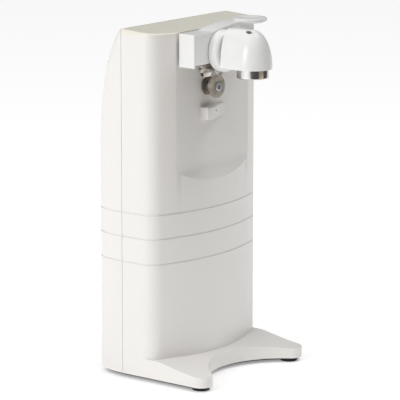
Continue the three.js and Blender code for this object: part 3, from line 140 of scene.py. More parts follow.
def prism(name, outline, start, end, axis="Z"):
    """An outline carried straight along an axis."""
    return loft(name, [[placed(axis, a, b, t) for a, b in outline] for t in (start, end)])


def lathe(name, profile, centre, axis="Z", segments=64):
    """A profile of (radius, place along the axis) turned about that axis through the centre."""
    points = []
    for radius, along in profile:
        for i in range(segments):
            a = 2 * math.pi * i / segments
            u, v = radius * math.cos(a), radius * math.sin(a)
            points.append(placed(axis, centre[0] + u, centre[1] + v, along))
    faces = []
    for r in range(len(profile) - 1):
        for i in range(segments):
            j = (i + 1) % segments
            a, b = r * segments, (r + 1) * segments
            quad = [a + i, a + j, b + j, b + i]
            if profile[r][0] == 0:
                quad = [a, b + j, b + i]
            elif profile[r + 1][0] == 0:
                quad = [a + i, a + j, b]
            faces.append(quad)
    return solid(name, points, faces)


def rod(name, spot, radius, start, end, axis="Y", segments=24):
    """A plain round bar, mostly used to cut a hole."""
    return lathe(name, [(0, start), (radius, start), (radius, end), (0, end)], spot, axis, segments)


def rectangle(left, right, near, far):
    return [(left, near), (right, near), (right, far), (left, far)]


def filleted(corners, closed=False, steps=6):
    """A line through (a, b, radius) corners, each rounded with an arc of its radius."""
    out = []
    for i, corner in enumerate(corners):
        here = Vector(corner[:2])
        radius = corner[2] if len(corner) > 2 else 0
        if radius == 0 or (not closed and i in (0, len(corners) - 1)):
            out.append(tuple(here))
            continue
        back = (Vector(corners[i - 1][:2]) - here).normalized()
        ahead = (Vector(corners[(i + 1) % len(corners)][:2]) - here).normalized()
        half = back.angle(ahead) / 2
        reach = radius / math.tan(half)
        middle = here + (back + ahead).normalized() * (radius / math.sin(half))
        start, end = here + back * reach - middle, here + ahead * reach - middle
        turn = start.angle(end)
        for k in range(steps + 1):
            t = k / steps
            arm = (start * math.sin((1 - t) * turn) + end * math.sin(t * turn)) / math.sin(turn)
            out.append(tuple(middle + arm))
    return out


def arc(centre, radius, start, end, steps):
    """Points on a circle from one angle to another, in degrees."""
    angles = [math.radians(start + (end - start) * k / steps) for k in range(steps + 1)]
    return [(centre[0] + radius * math.cos(a), centre[1] + radius * math.sin(a)) for a in angles]


def bezier(points, steps):
    """A quadratic or cubic curve through its end points."""
    out = []
    for k in range(steps + 1):
        row, t = [Vector(p) for p in points], k / steps
        while len(row) > 1:
            row = [a.lerp(b, t) for a, b in zip(row, row[1:])]
        out.append(tuple(row[0]))
    return out


# %% [markdown]
# Booleans do here what milling and moulding cores do for the real shells. Each cutter is used up at
# once, so nothing but the finished piece is left. Rounding the edges afterwards is what makes moulded
# plastic look moulded: every edge catches a thin line of light.


# %% Carving and rounding
def apply_modifier(made, kind, **settings):
    modifier = made.modifiers.new(kind, kind)
    for key, value in settings.items():
        setattr(modifier, key, value)
    graph = bpy.context.evaluated_depsgraph_get()
    mesh = bpy.data.meshes.new_from_object(made.evaluated_get(graph))
    made.modifiers.clear()
    old = made.data
    made.data = mesh
    bpy.data.meshes.remove(old)
    return made


def carve(made, cutter, operation="DIFFERENCE"):
    apply_modifier(made, "BOOLEAN", object=cutter, operation=operation, solver="MANIFOLD")
    bpy.data.objects.remove(cutter)
    return made


def join(made, other):
    return carve(made, other, "UNION")


def crossing(made, other):
    return carve(made, other, "INTERSECT")


def round_edges(made, width, where=lambda a, b, angle: True, sharper_than=30, segments=3):
    """Bevels the edges that turn by more than an angle and that the test lets through."""
    bm = bmesh.new()
    bm.from_mesh(made.data)
    chosen = []
    for edge in bm.edges:
        if len(edge.link_faces) != 2 or not edge.is_manifold:
            continue
        angle = math.degrees(edge.calc_face_angle(0))
        ends = [Vector((v.co.x / MM, v.co.y / MM - SEAM, v.co.z / MM)) for v in edge.verts]
        if angle > sharper_than and where(ends[0], ends[1], angle):
            chosen.append(edge)
    bmesh.ops.bevel(
        bm, geom=chosen, offset=width * MM, offset_type="OFFSET", segments=segments, profile=0.5,
        affect="EDGES", clamp_overlap=True,
    )
    bmesh.ops.remove_doubles(bm, verts=bm.verts, dist=0.002 * MM)
    bm.to_mesh(made.data)
    bm.free()
    return made


def shade(made, crease=38):
    """Smooth faces with real creases kept, and normals weighted so that flats stay flat."""
    bm = bmesh.new()
    bm.from_mesh(made.data)
    for face in bm.faces:
        face.smooth = True
    for edge in bm.edges:
        turn = edge.calc_face_angle(0) if len(edge.link_faces) == 2 else math.pi
        edge.smooth = math.degrees(turn) < crease
    bm.to_mesh(made.data)
    bm.free()
    modifier = made.modifiers.new("even shading", "WEIGHTED_NORMAL")
    modifier.keep_sharp = True
    return made


def settle(made, body, material, node):
    """Shades a finished piece, gives it its material and lets it ride on its body."""
    shade(made)
    made.data.materials.clear()
    made.data.materials.append(material)
    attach(made, body)
    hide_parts(node)
    print(made.name, "rides on", body, "with", len(made.data.polygons), "faces")
    return made


# %% [markdown]
# Materials are written as sums. A Wire is a socket that can be added, multiplied and compared, and
# each of those adds one Math node. A Finish is a material under construction: its node method makes any
# other node, sets its options first and then fills its sockets with numbers, colours or wires.


# %% Shader arithmetic
def operator(operation, swapped=False):
    def act(wire, *others):
        values = (*others, wire) if swapped else (wire, *others)
        return wire.finish.node("ShaderNodeMath", {"operation": operation}, dict(enumerate(values)))
    return act


class Wire:
    __add__ = __radd__ = operator("ADD")
    __sub__, __rsub__ = operator("SUBTRACT"), operator("SUBTRACT", swapped=True)
    __mul__ = __rmul__ = operator("MULTIPLY")
    __pow__, __abs__ = operator("POWER"), operator("ABSOLUTE")

    def __init__(self, finish, socket):
        self.finish, self.socket = finish, socket

    def above(self, edge, width):
        """0 below the edge and 1 above it, with a soft step of that width."""
        return self.finish.node(
            "ShaderNodeMapRange",
            {"interpolation_type": "SMOOTHSTEP"},
            {"Value": self, "From Min": edge - width / 2, "From Max": edge + width / 2},
        )


class Finish:
    def __init__(self, name, **sockets):
        self.material = bpy.data.materials.new(name)
        self.material.use_nodes = True
        self.tree = self.material.node_tree
        self.shader = self.tree.nodes["Principled BSDF"]
        for key, value in sockets.items():
            self.set(key.replace("_", " ").title().replace("Ior", "IOR"), value)

    def plug(self, socket, value):
        if isinstance(value, Wire):
            self.tree.links.new(value.socket, socket)
        elif isinstance(value, (tuple, list)) and len(value) == 3 and socket.type == "RGBA":
            socket.default_value = (*value, 1)
        else:
            socket.default_value = value

    def set(self, key, value):
        self.plug(self.shader.inputs[key], value)
        return self

    def node(self, kind, settings=None, inputs=None, out=0):
        made = self.tree.nodes.new(kind)
        for key, value in (settings or {}).items():
            if key == "stops":
                ramp = made.color_ramp
                while len(ramp.elements) < len(value):
                    ramp.elements.new(1)
                for element, (place, colour) in zip(ramp.elements, value):
                    element.position, element.color = place, (*colour, 1)
            else:
                setattr(made, key, value)
        for key, value in (inputs or {}).items():
            self.plug(made.inputs[key], value)
        return Wire(self, made.outputs[out])

    def mix(self, mask, first, second):
        """One colour where the mask is 0 and the other where it is 1."""
        return self.node(
            "ShaderNodeMix", {"data_type": "RGBA"}, {0: mask, 6: first, 7: second}, out=2
        )

    def place(self, scale=(1, 1, 1)):
        """Places on the piece in metres, stretched if asked."""
        spot = self.node("ShaderNodeTexCoord", out=3)
        return self.node("ShaderNodeMapping", inputs={"Vector": spot, "Scale": scale})

    def part(self, vector, which):
        return self.node("ShaderNodeSeparateXYZ", inputs={0: vector}, out="XYZ".index(which))

    def noise(self, size_mm, detail=3, roughness=0.5, vector=None):
        """Smooth random values from 0 to 1 with patches of about that size."""
        inputs = {
            "Vector": vector or self.place(),
            "Scale": 1000 / size_mm,
            "Detail": detail,
            "Roughness": roughness,
        }
        return self.node("ShaderNodeTexNoise", inputs=inputs)

    def bump(self, height, depth_mm, strength=1.0):
        """Raises the surface in shading only. Height runs from 0 to 1 over that depth."""
        normal = self.node(
            "ShaderNodeBump", inputs={"Height": height, "Distance": depth_mm * MM, "Strength": strength}
        )
        return self.set("Normal", normal)


# %% [markdown]
# The shells are glossy white ABS. Such mouldings are never perfectly even: the gloss wavers a little
# where the tool was polished by hand, and a cloud of slightly warmer tone wanders at random. A cream tint
# painted on the top stands in for the warm light from above. The lever, hub and hood come from another
# mould and stay a cooler, cleaner white.


# %% White plastics
def white_plastic(name, colour, lit_top_colour, lit_top_height):
    made = Finish(name, roughness=0.24, ior=1.5)
    cloud = made.noise(38, 2)
    fine = made.noise(0.9, 3)
    height = made.part(made.place(), "Z")
    # Painted light: above the given height the colour turns cream as if lit warmly from above; the cloud
    # adds random tone.
    lit_top_and_tone = height.above(lit_top_height * MM, 0.004) * 0.85 + 0.12 * cloud
    made.set("Base Color", made.mix(lit_top_and_tone, colour, lit_top_colour))
    made.set("Roughness", 0.22 + 0.04 * cloud + 0.03 * fine)
    return made.bump(fine, 0.006, 0.5).material


# The second colour of each white is the cream painted on the top as light from above; the lever's height is
# never reached.
HOUSING_WHITE = white_plastic("housing white", (0.80, 0.78, 0.76), (0.80, 0.77, 0.665), HEIGHT - 3.2)
LEVER_WHITE = white_plastic("lever white", (0.81, 0.81, 0.805), (0.80, 0.785, 0.74), HEIGHT + 20)
print("whites:", HOUSING_WHITE.name, "and", LEVER_WHITE.name)


# %% [markdown]
# The working metals are small but they carry the look. The wheel and the blade are hardened steel with a
# straw-coloured heat tint, the guide has been stamped and tumbled, the magnet's cup is bright chrome
# and the screws are zinc plated. Fine grain goes into roughness and bump, never into flat colour.


# %% Metals
def worked_metal(name, colour, tint, grain_mm, rough, stretch=(1, 1, 1), depth=0.01):
    made = Finish(name, metallic=1.0)
    grain = made.noise(grain_mm, 4, 0.6, made.place(stretch))
    stain = made.noise(grain_mm * 9, 3)
    made.set("Base Color", made.mix(stain.above(0.52, 0.3), colour, tint))
    made.set("Roughness", rough + 0.22 * (grain - 0.5) + 0.1 * stain)
    return made.bump(grain, depth).material


WHEEL_STEEL = worked_metal("wheel steel", (0.56, 0.52, 0.45), (0.42, 0.38, 0.33), 0.5, 0.42)
CUTTER_STEEL = worked_metal(
    "cutter steel", (0.66, 0.63, 0.58), (0.50, 0.45, 0.38), 0.6, 0.26, (0.2, 1, 1), 0.03
)
ZINC = worked_metal("zinc plate", (0.62, 0.64, 0.66), (0.52, 0.54, 0.55), 0.6, 0.34)
# Painted shade: the bushes' bronze is made darker and greyer than the metal to stand in for the shade
# beside the wheel.
BRONZE = worked_metal("bronze darkened as shade", (0.30, 0.25, 0.20), (0.20, 0.16, 0.12), 0.4, 0.42)
LAMINATIONS = worked_metal(
    "motor laminations", (0.20, 0.21, 0.23), (0.12, 0.10, 0.09), 0.5, 0.5, (0.05, 1, 0.05), 0.05
)
WINDING = worked_metal(
    "enamelled winding", (0.45, 0.14, 0.05), (0.32, 0.09, 0.04), 0.45, 0.3, (0.05, 1, 1), 0.12
)
print("metals so far:", [metal.name for metal in (WHEEL_STEEL, CUTTER_STEEL, ZINC, BRONZE)])

# %% [markdown]
# The magnet needs one material for two surfaces. A mask marks the disc inside the cup's rim on the
# underside: there the metal gives way to rough black ferrite.

# %% Magnet chrome
DISC_RADIUS = 9.1
chrome = Finish("magnet chrome", metallic=1.0, base_color=(0.86, 0.86, 0.87))
MAGNET_MIDDLE = centre_of("magnet")
aside = abs(chrome.part(chrome.place(), "X") - MAGNET_MIDDLE.x * MM)
ahead = abs(chrome.part(chrome.place(), "Y") - (MAGNET_MIDDLE.y + SEAM) * MM)
face = 1 - ((aside * aside + ahead * ahead) ** 0.5).above(DISC_RADIUS * MM, 0.0003)
under = face * (1 - chrome.part(chrome.place(), "Z").above(low("magnet").z * MM + 0.001, 0.0002))
chrome.set("Metallic", 1 - under)
chrome.set("Base Color", chrome.mix(under, (0.58, 0.57, 0.56), (0.05, 0.05, 0.055)))
chrome.set("Roughness", 0.12 + 0.05 * chrome.noise(6, 2) + 0.40 * under)
CHROME = chrome.material
print("chrome nodes:", len(chrome.tree.nodes))


# %% [markdown]
# The rest is moulded black plastic, rubber, natural nylon gears and the dark phenolic of the switch.
# They are mostly inside or underneath, but each has the grain that tells it from the others.


# %% Dark plastics, rubber and nylon
def moulded(name, colour, speck, grain_mm, rough, depth):
    made = Finish(name)
    grain = made.noise(grain_mm, 3)
    made.set("Base Color", made.mix(grain.above(0.55, 0.25), colour, speck))
    made.set("Roughness", rough + 0.15 * (grain - 0.5))
    return made.bump(grain, depth).material


BLACK_PLASTIC = moulded("black plastic", (0.012, 0.012, 0.013), (0.022, 0.022, 0.022), 0.7, 0.45, 0.03)
RUBBER = moulded("black rubber", (0.010, 0.010, 0.010), (0.024, 0.023, 0.022), 0.5, 0.8, 0.04)
NYLON = moulded("gear nylon", (0.72, 0.68, 0.56), (0.66, 0.61, 0.48), 2.5, 0.42, 0.01)
PHENOLIC = moulded("switch phenolic", (0.030, 0.022, 0.017), (0.05, 0.036, 0.028), 0.8, 0.4, 0.02)

FINISHES = {
    "housing_white": HOUSING_WHITE,
    "black_plastic": BLACK_PLASTIC,
    "black_rubber": RUBBER,
    "magnet_chrome": CHROME,
    "cutter_steel": CUTTER_STEEL,
    "wheel_steel": WHEEL_STEEL,
    "zinc_steel": ZINC,
    "bronze": BRONZE,
    "gear_nylon": NYLON,
    "laminations": LAMINATIONS,
    "copper_winding": WINDING,
    "switch_plastic": PHENOLIC,
}
for entry in frame["record"]["subparts"]:
    node = frame["nodes"][entry["node"]]
    node.data.materials.clear()
    node.data.materials.append(FINISHES[entry["material_slot"]])
print("finishes:", len(FINISHES))

# %% [markdown]
# ## Front housing
# The front shell is bowed in plan, a wide arc that meets each side in a rounded corner. It is lofted
# from that plan, and the top is a stack of slightly shrunken plans, which gives its rounded rim. The
# flat recess with its sloping ledge is then cut away in one pass, as a mould insert would form it.

# %% Front form and recess
FRONT_DEPTH = 38.7
FRONT_RADIUS = 143
FRONT_CORNER = 12
TOP_FALL, FALL_START, FALL_REACH = 1.9, 40, 38
RIM_ROUND = 1.6
RECESS = low("chassis_plate").y - 11
LEDGE = HEIGHT - 99.5
CORNER_X = HALF_WIDTH - FRONT_CORNER
BOW_Y = FRONT_RADIUS - FRONT_DEPTH
SPREAD = math.degrees(math.asin(CORNER_X / (FRONT_RADIUS - FRONT_CORNER)))
CORNER_Y = BOW_Y - math.sqrt((FRONT_RADIUS - FRONT_CORNER) ** 2 - CORNER_X**2)


def front_plan(inset, seam, corner_steps=12, bow_steps=64):
    side = [(-HALF_WIDTH + inset, seam), (-HALF_WIDTH + inset, CORNER_Y / 2)]
    left = arc((-CORNER_X, CORNER_Y), FRONT_CORNER - inset, 180, 270 - SPREAD, corner_steps)
    bow = arc((0, BOW_Y), FRONT_RADIUS - inset, 270 - SPREAD, 270 + SPREAD, bow_steps)
    right = arc((CORNER_X, CORNER_Y), FRONT_CORNER - inset, 270 + SPREAD, 360, corner_steps)
    other_side = [(HALF_WIDTH - inset, CORNER_Y / 2), (HALF_WIDTH - inset, seam)]
    return side + left + bow[1:-1] + right + other_side


def sloped(z, y):
    """The top falls from the seam towards the recess; lower down the walls stay as they are."""
    share = max(0, min(1, (z - HEIGHT + FALL_START) / FALL_REACH))
    return z - share * TOP_FALL * max(0, -y) / -RECESS


def front_form(name, inset, bottom, top, seam, rim):
    levels = [(bottom, inset), (top - 30, inset)]
    for t in [math.radians(15 * k) for k in range(7)]:
        levels.append((top - rim + rim * math.sin(t), inset + rim * (1 - math.cos(t))))
    rings = [[(x, y, sloped(z, y)) for x, y in front_plan(shrink, seam)] for z, shrink in levels]
    return loft(name, rings)


def recess_cutter(inset):
    reach = FRONT_DEPTH + 24
    flat, ledge = RECESS + inset, LEDGE - inset * 0.5
    outline = filleted([
        (flat, HEIGHT + 20),
        (flat, ledge, 14 + inset),
        (-reach, ledge - (flat + reach) * 1.4),
        (-reach, HEIGHT + 20),
    ], closed=True, steps=8)
    return prism("recess cutter", outline, -HALF_WIDTH - 8, HALF_WIDTH + 8, "X")


front = front_form("front_shell", 0, BASE, HEIGHT, -SEAM_GAP / 2, RIM_ROUND)
carve(front, recess_cutter(0))
print("plan corner ends at y", round(CORNER_Y, 2), "and the recess lies at", round(RECESS, 2))

# %% [markdown]
# The two feet reach forward from the front and share a concave edge, so that a can's base fits between
# them. The foot solid is the crossing of two prisms: the plan with its concave arc and rounded toes, and
# the side view whose top falls towards the toes. Only its upper edges are rounded, with a wide soft
# bevel, before it is joined to the shell.

# %% Feet
FOOT_HALF_WIDTH = high("front_housing").x
TOE_RADIUS = 8
TOE_X = FOOT_HALF_WIDTH - TOE_RADIUS
ARC_DEPTH = FRONT_DEPTH + 5.3
ARC_RADIUS = FOOT_HALF_WIDTH - 5.6
ARC_Y = -ARC_DEPTH - ARC_RADIUS
TOE_Y = ARC_Y + math.sqrt((ARC_RADIUS + TOE_RADIUS) ** 2 - TOE_X**2)
LEAN = math.degrees(math.atan2(TOE_X, TOE_Y - ARC_Y))
ROOT_Y = CORNER_Y + 3
FOOT_ROOT_Z, TOE_TOP = 15.6, 10.2
FOOT_BEVEL = 1.9


def feet_plan(inset):
    toe, bay = TOE_RADIUS - inset, ARC_RADIUS + inset
    left = arc((-TOE_X, TOE_Y), toe, 180, 270 + LEAN, 18)
    middle = arc((0, ARC_Y), bay, 90 + LEAN, 90 - LEAN, 48)
    right = arc((TOE_X, TOE_Y), toe, -90 - LEAN, 0, 18)
    root = HALF_WIDTH - inset
    return [(-root, ROOT_Y)] + left + middle[1:-1] + right + [(root, ROOT_Y)]


def feet_form(inset, bottom):
    front_edge = TOE_Y - TOE_RADIUS
    outline = [(ROOT_Y, bottom), (ROOT_Y, FOOT_ROOT_Z + 1 - inset)]
    outline += bezier([
        (-FRONT_DEPTH + 6, FOOT_ROOT_Z + 0.4 - inset),
        (-FRONT_DEPTH - 6, FOOT_ROOT_Z - 1.6 - inset),
        (front_edge + 14, TOE_TOP + 0.2 - inset),
        (front_edge - 2, TOE_TOP - inset),
    ], 16)
    outline.append((front_edge - 2, bottom))
    side = prism("feet side", outline, -FOOT_HALF_WIDTH - 3, FOOT_HALF_WIDTH + 3, "X")
    return crossing(prism("feet", feet_plan(inset), bottom, FOOT_ROOT_Z + 4), side)


def foot_top_edge(a, b, angle):
    return min(a.z, b.z) > BASE + 4 and max(a.y, b.y) < ROOT_Y + 3


feet = feet_form(0, BASE)
round_edges(feet, FOOT_BEVEL, foot_top_edge, 35, 5)
join(front, feet)
print("toes at x", round(TOE_X, 2), "y", round(TOE_Y, 2))

# %% [markdown]
# Inside, the shell is hollow with a wall of even thickness. The small wedge under the drive wheel
# steadies the can and has a tiny moulding mark on its slanted face.

# %% Hollow and can rest
hollow = front_form("front hollow", WALL, BASE - 2, HEIGHT - WALL, 5, 0.4)
carve(hollow, recess_cutter(WALL))
carve(front, hollow)
carve(front, feet_form(WALL, BASE - 2))

WHEEL_DROP, REST_DROP, REST_HEIGHT = 42.2, 22.8, 8.6
REST_BOTTOM = HEIGHT - WHEEL_DROP - REST_DROP
REST_TOP = REST_BOTTOM + REST_HEIGHT
REST_LEFT, REST_CORNER, REST_RIGHT = -14, -11, 19
REST_ROOT, REST_FACE = RECESS + 1.2, RECESS - 7
rest = prism("can rest", [
    (REST_LEFT, REST_ROOT), (REST_LEFT, REST_FACE), (REST_CORNER, REST_FACE), (REST_RIGHT, REST_ROOT),
], REST_BOTTOM, REST_TOP)
round_edges(rest, 0.7, lambda a, b, angle: min(a.y, b.y) < RECESS - 0.5, 20, 3)
carve(rest, rod("mark", (-1.5, REST_TOP - 3.6), 0.8, RECESS - 9, RECESS - 3.4, segments=16))
join(front, rest)
print("can rest from", round(REST_BOTTOM, 1), "to", round(REST_TOP, 1))

# %% [markdown]
# Three shallow grooves run all round the housing at the same heights on both shells, and two holes take
# the shaft bushes. Last, the ledge's upper edge and the edges of the outer skin are broken by fine bevels.

# %% Grooves, bush holes and edges
GROOVES = (83.3, 101, 118)
GROOVE_DEPTH, GROOVE_HALF = 0.4, 0.5
BUSHES = ("drive_bush", "lever_bush")
BUSH_HOLE = 5.3
SKIN_BEVEL = 0.28


def groove_ring(plan, z):
    """A flat ring that follows a shell's plan and reaches a groove's depth into it."""
    ring = prism("groove", plan(-2), z - GROOVE_HALF, z + GROOVE_HALF)
    return carve(ring, prism("groove floor", plan(GROOVE_DEPTH), z - 2, z + 2))


def outside_edge(a, b, angle):
    """Edges of the outer skin: the rim of the recess, the grooves, the seam and the lower edge."""
    inside = max(abs(a.x), abs(b.x)) < HALF_WIDTH - 1.5 and min(a.y, b.y) > RECESS + 0.6
    return not inside and (a - b).length > 0.15


def ledge_edge(a, b, angle):
    """The ledge's bowed rim, where it meets the front."""
    lowest = LEDGE - 1.4 * (FRONT_DEPTH + RECESS) - 1
    on_ledge = lowest < min(a.z, b.z) and max(a.z, b.z) < LEDGE - 0.4
    return on_ledge and min(a.y, b.y) < RECESS - 0.4 and abs(a.z - b.z) < abs(a.x - b.x)


for z in GROOVES:
    carve(front, groove_ring(lambda inset: front_plan(inset, 3), z))
for bush in BUSHES:
    carve(front, rod("bush hole", spot_of(bush), BUSH_HOLE, RECESS - 4, RECESS + 6, segments=48))
round_edges(front, 0.8, ledge_edge, 20, 3)
round_edges(front, SKIN_BEVEL, outside_edge, 34, 2)
settle(front, "housing", HOUSING_WHITE, "front_housing")

# %% [markdown]
# ## Rear cover
# The rear shell is upright below and curves in to the seam above, like the back of a tall radio. Its
# plan has rounded corners, so each ring of the loft is the plan with its depth scaled by a quarter
# ellipse: the corners then stay round all the way up instead of ending in a sharp hip.

# %% Rear cover
REAR_CORNER = 20
REAR_CROWN = 85
REAR_FOOT_ROUND = 1.8
CROWN_STEPS = 30


def rear_plan(inset, depth_share=1.0):
    half, depth = HALF_WIDTH - inset, REAR_DEPTH - inset
    inner = half - REAR_CORNER
    right = bezier([(half, 0), (half - 1, depth * 0.55), (half - 3, depth), (inner, depth)], 22)
    left = [(-x, y) for x, y in reversed(right)]
    back = [(inner - inner * 2 * k / 8, depth) for k in range(1, 8)]
    return [(half, -6)] + [(x, y * depth_share) for x, y in right + back + left] + [(-half, -6)]


def rear_form(name, inset, bottom, foot_round):
    crown = HEIGHT - REAR_CROWN
    rings = []
    for k in range(7):
        t = math.radians(15 * k)
        share = 1 - foot_round * (1 - math.sin(t)) / REAR_DEPTH
        z = bottom + foot_round * (1 - math.cos(t))
        rings.append([(x, y, z) for x, y in rear_plan(inset, share)])
    for k in range(CROWN_STEPS + 1):
        t = math.radians(90 * k / CROWN_STEPS * 0.985)
        share, z = math.cos(t), crown + (REAR_CROWN - inset) * math.sin(t)
        rings.append([(x, y, z) for x, y in rear_plan(inset, share)])
    made = loft(name, rings)
    cut = SEAM_GAP / 2 if inset == 0 else -3
    across = HALF_WIDTH + 5
    return carve(made, prism("seam cut", rectangle(-across, across, -20, cut), bottom - 5, HEIGHT + 5))


rear = rear_form("rear_shell", 0, BASE, REAR_FOOT_ROUND)
carve(rear, rear_form("rear hollow", WALL, BASE - 3, 0.5))
print("rear shell lofted,", len(rear.data.polygons), "faces")

# %% [markdown]
# Four long screws pull the shells together from behind. Each sinks into a well in the rear cover, and
# the well is a post with a wider bore, so a post is joined in first and then bored. The flex leaves
# low on the right through a rubber gland, which has its own hole.

# %% Screw wells and gland hole
COVER_SCREWS = [f"cover_screw_{i}" for i in (1, 2, 3, 4)]
HEAD_DEPTH = 2.5
POST_RADIUS, WELL_RADIUS, BORE_RADIUS, GLAND_HOLE = 5.3, 3.7, 2, 5.3
BEHIND = REAR_DEPTH + 4
for name in COVER_SCREWS:
    spot, seat = spot_of(name), high(name).y - HEAD_DEPTH
    outer = rear_form("post limit", 0.3, BASE, REAR_FOOT_ROUND)
    post = rod("post", spot, POST_RADIUS, SEAM_GAP / 2, REAR_DEPTH, segments=40)
    join(rear, crossing(post, outer))
    carve(rear, rod("well", spot, WELL_RADIUS, seat, BEHIND, segments=40))
    carve(rear, rod("bore", spot, BORE_RADIUS, -2, seat + 1))
carve(rear, rod("gland hole", spot_of("cord_gland"), GLAND_HOLE, REAR_DEPTH - 6, BEHIND, segments=40))
for z in GROOVES:
    carve(rear, groove_ring(rear_plan, z))


def rear_outside(a, b, angle):
    """Edges of the rear skin and of the seam at the top."""
    skin = max(abs(a.x), abs(b.x)) > HALF_WIDTH - 1.2 or max(a.y, b.y) > REAR_DEPTH - 1.2
    seam = min(a.z, b.z) > HEIGHT - 1
    return (skin or seam) and (a - b).length > 0.15


round_edges(rear, SKIN_BEVEL, rear_outside, 34, 2)
settle(rear, "housing", HOUSING_WHITE, "rear_cover")

# %% [markdown]
# ## Cutting lever
# The lever is a deep block on the left, where it turns on its shaft, and it sweeps up to the right into
# a thin arm with an oval thumb pad. The side view is drawn once and carried through the thickness. The
# pad is a separate turned shape, slightly dished, and joined to the arm.

# %% Lever and thumb pad
LEVER_LEFT, LEVER_BACK = low("lever_arm").x, high("lever_arm").y
LEVER_FRONT = RECESS - 14.8
LEVER_TOP = HEIGHT - 2.4
LEVER_BOTTOM = LEVER_TOP - 21.3
LIP_BOTTOM, LIP_RIGHT = LEVER_BOTTOM - 1.8, LEVER_LEFT + 2
PAD_TOP = high("lever_arm").z
PAD_X, PAD_RADIUS = 25, 12
PAD_Y = LEVER_FRONT + 1.3
ARM_BOTTOM, ARM_TOP, ARM_END = LEVER_TOP - 6.6, PAD_TOP - 1.4, PAD_X + 2.8

outline = [(LEVER_LEFT, LIP_BOTTOM), (LIP_RIGHT, LIP_BOTTOM), (LIP_RIGHT, LEVER_BOTTOM), (2, LEVER_BOTTOM)]
outline += bezier([(2.3, LEVER_BOTTOM + 0.5), (8, ARM_BOTTOM), (16, ARM_BOTTOM)], 14)
outline += [(ARM_END, ARM_BOTTOM), (ARM_END, ARM_TOP)]
outline += bezier([(PAD_X - PAD_RADIUS, ARM_TOP), (-2, PAD_TOP - 1.8), (-20, LEVER_TOP)], 24)
outline += [(LEVER_LEFT, LEVER_TOP)]
lever = prism("lever", outline, LEVER_FRONT, LEVER_BACK, "Y")
round_edges(lever, 0.9, lambda a, b, angle: (a - b).length > 0.3, 32, 4)
pad_profile = filleted([
    (0, PAD_TOP - 3.2), (PAD_RADIUS - 1.4, PAD_TOP - 3.2, 0.9), (PAD_RADIUS, PAD_TOP - 1.9, 1.0),
    (PAD_RADIUS - 0.5, PAD_TOP, 0.8), (PAD_RADIUS - 3, PAD_TOP - 0.15, 0.8),
    (4, PAD_TOP - 0.75, 3), (0, PAD_TOP - 0.8),
], steps=5)
join(lever, lathe("thumb pad", pad_profile, (PAD_X, PAD_Y), "Z", 72))
print("lever from z", round(LIP_BOTTOM, 1), "to", round(PAD_TOP, 1))

# %% [markdown]
# The lever carries everything that swings: the hub's spigot sits in its front, the shaft in a blind bore
# from behind, and a small web reaches down to hold the blade's screw.

# %% Holes and cutter web
SPIGOT_HOLE, SHAFT_HOLE, THREAD_HOLE = 4.3, 3.3, 2
WEB_HALF = 4
HUB_X, HUB_Z = centre_of("magnet_hub").x, LEVER_TOP - 13.5
CUTTER_SPOT = spot_of("cutter_screw")
CUTTER_X, CUTTER_Z = CUTTER_SPOT
web_front = high("rim_guide").y + 0.3

carve(lever, rod("spigot hole", (HUB_X, HUB_Z), SPIGOT_HOLE, LEVER_FRONT - 1, LEVER_FRONT + 5, segments=32))
bore_front = low("lever_shaft").y - 0.3
carve(lever, rod("shaft bore", spot_of("lever_shaft"), SHAFT_HOLE, bore_front, LEVER_BACK + 1, segments=32))
web_plan = rectangle(CUTTER_X - WEB_HALF, CUTTER_X + WEB_HALF, web_front, LEVER_BACK - 1)
join(lever, prism("cutter web", web_plan, CUTTER_Z - 3.4, LEVER_BOTTOM + 1))
carve(lever, rod("screw hole", CUTTER_SPOT, THREAD_HOLE, web_front - 1, web_front + 4.5))
settle(lever, "lever", LEVER_WHITE, "lever_arm")

# %% [markdown]
# ## Hub, hood and magnet
# A round hub carries the magnet's hood in front of the lever. Seen from the side it is a stack of soft
# turned steps, so it comes off the lathe: a barrel with a well rounded rim and a neck. The hinge lug for
# the hood stands on the neck and is joined afterwards.

# %% Hub
HUB_BACK, HUB_FRONT = LEVER_FRONT - 0.3, LEVER_FRONT - 8
NECK_FRONT = HUB_FRONT - 4.7
HUB_RADIUS, NECK_RADIUS, SPIGOT_RADIUS = 14.5, 8, 4
LUG_HALF, LUG_RADIUS, PIN_HOLE = 3, 2.8, 1.6
HINGE_SPOT = spot_of("hinge_pin", "X")
HINGE_Y, HINGE_Z = HINGE_SPOT

hub_profile = filleted([
    (0, LEVER_FRONT + 4), (SPIGOT_RADIUS, LEVER_FRONT + 4), (SPIGOT_RADIUS, HUB_BACK),
    (HUB_RADIUS, HUB_BACK, 0.6), (HUB_RADIUS, HUB_FRONT, 3.4), (NECK_RADIUS, HUB_FRONT, 0.9),
    (NECK_RADIUS, NECK_FRONT, 0.5), (0, NECK_FRONT),
])
hub = lathe("hub", hub_profile, (HUB_X, HUB_Z), "Y", 96)
shank_side = rectangle(HINGE_Y, HUB_FRONT + 1, HINGE_Z - LUG_RADIUS, HINGE_Z + LUG_RADIUS - 1.7)
join(hub, prism("lug shank", shank_side, HUB_X - LUG_HALF, HUB_X + LUG_HALF, "X"))
join(hub, rod("lug eye", HINGE_SPOT, LUG_RADIUS, HUB_X - LUG_HALF, HUB_X + LUG_HALF, "X", 40))
carve(hub, rod("pin hole", HINGE_SPOT, PIN_HOLE, HUB_X - 9, HUB_X + 9, "X"))
settle(hub, "lever", LEVER_WHITE, "magnet_hub")

# %% [markdown]
# The hood is a thin dome, open below and behind. Each level of it is a U: straight sides that end in a
# half circle at the front. Going up, the U shrinks with the cosine of an angle while the height grows
# with its sine, which makes the arch and the nose one smooth surface; towards the back the arch is a
# little squarer.

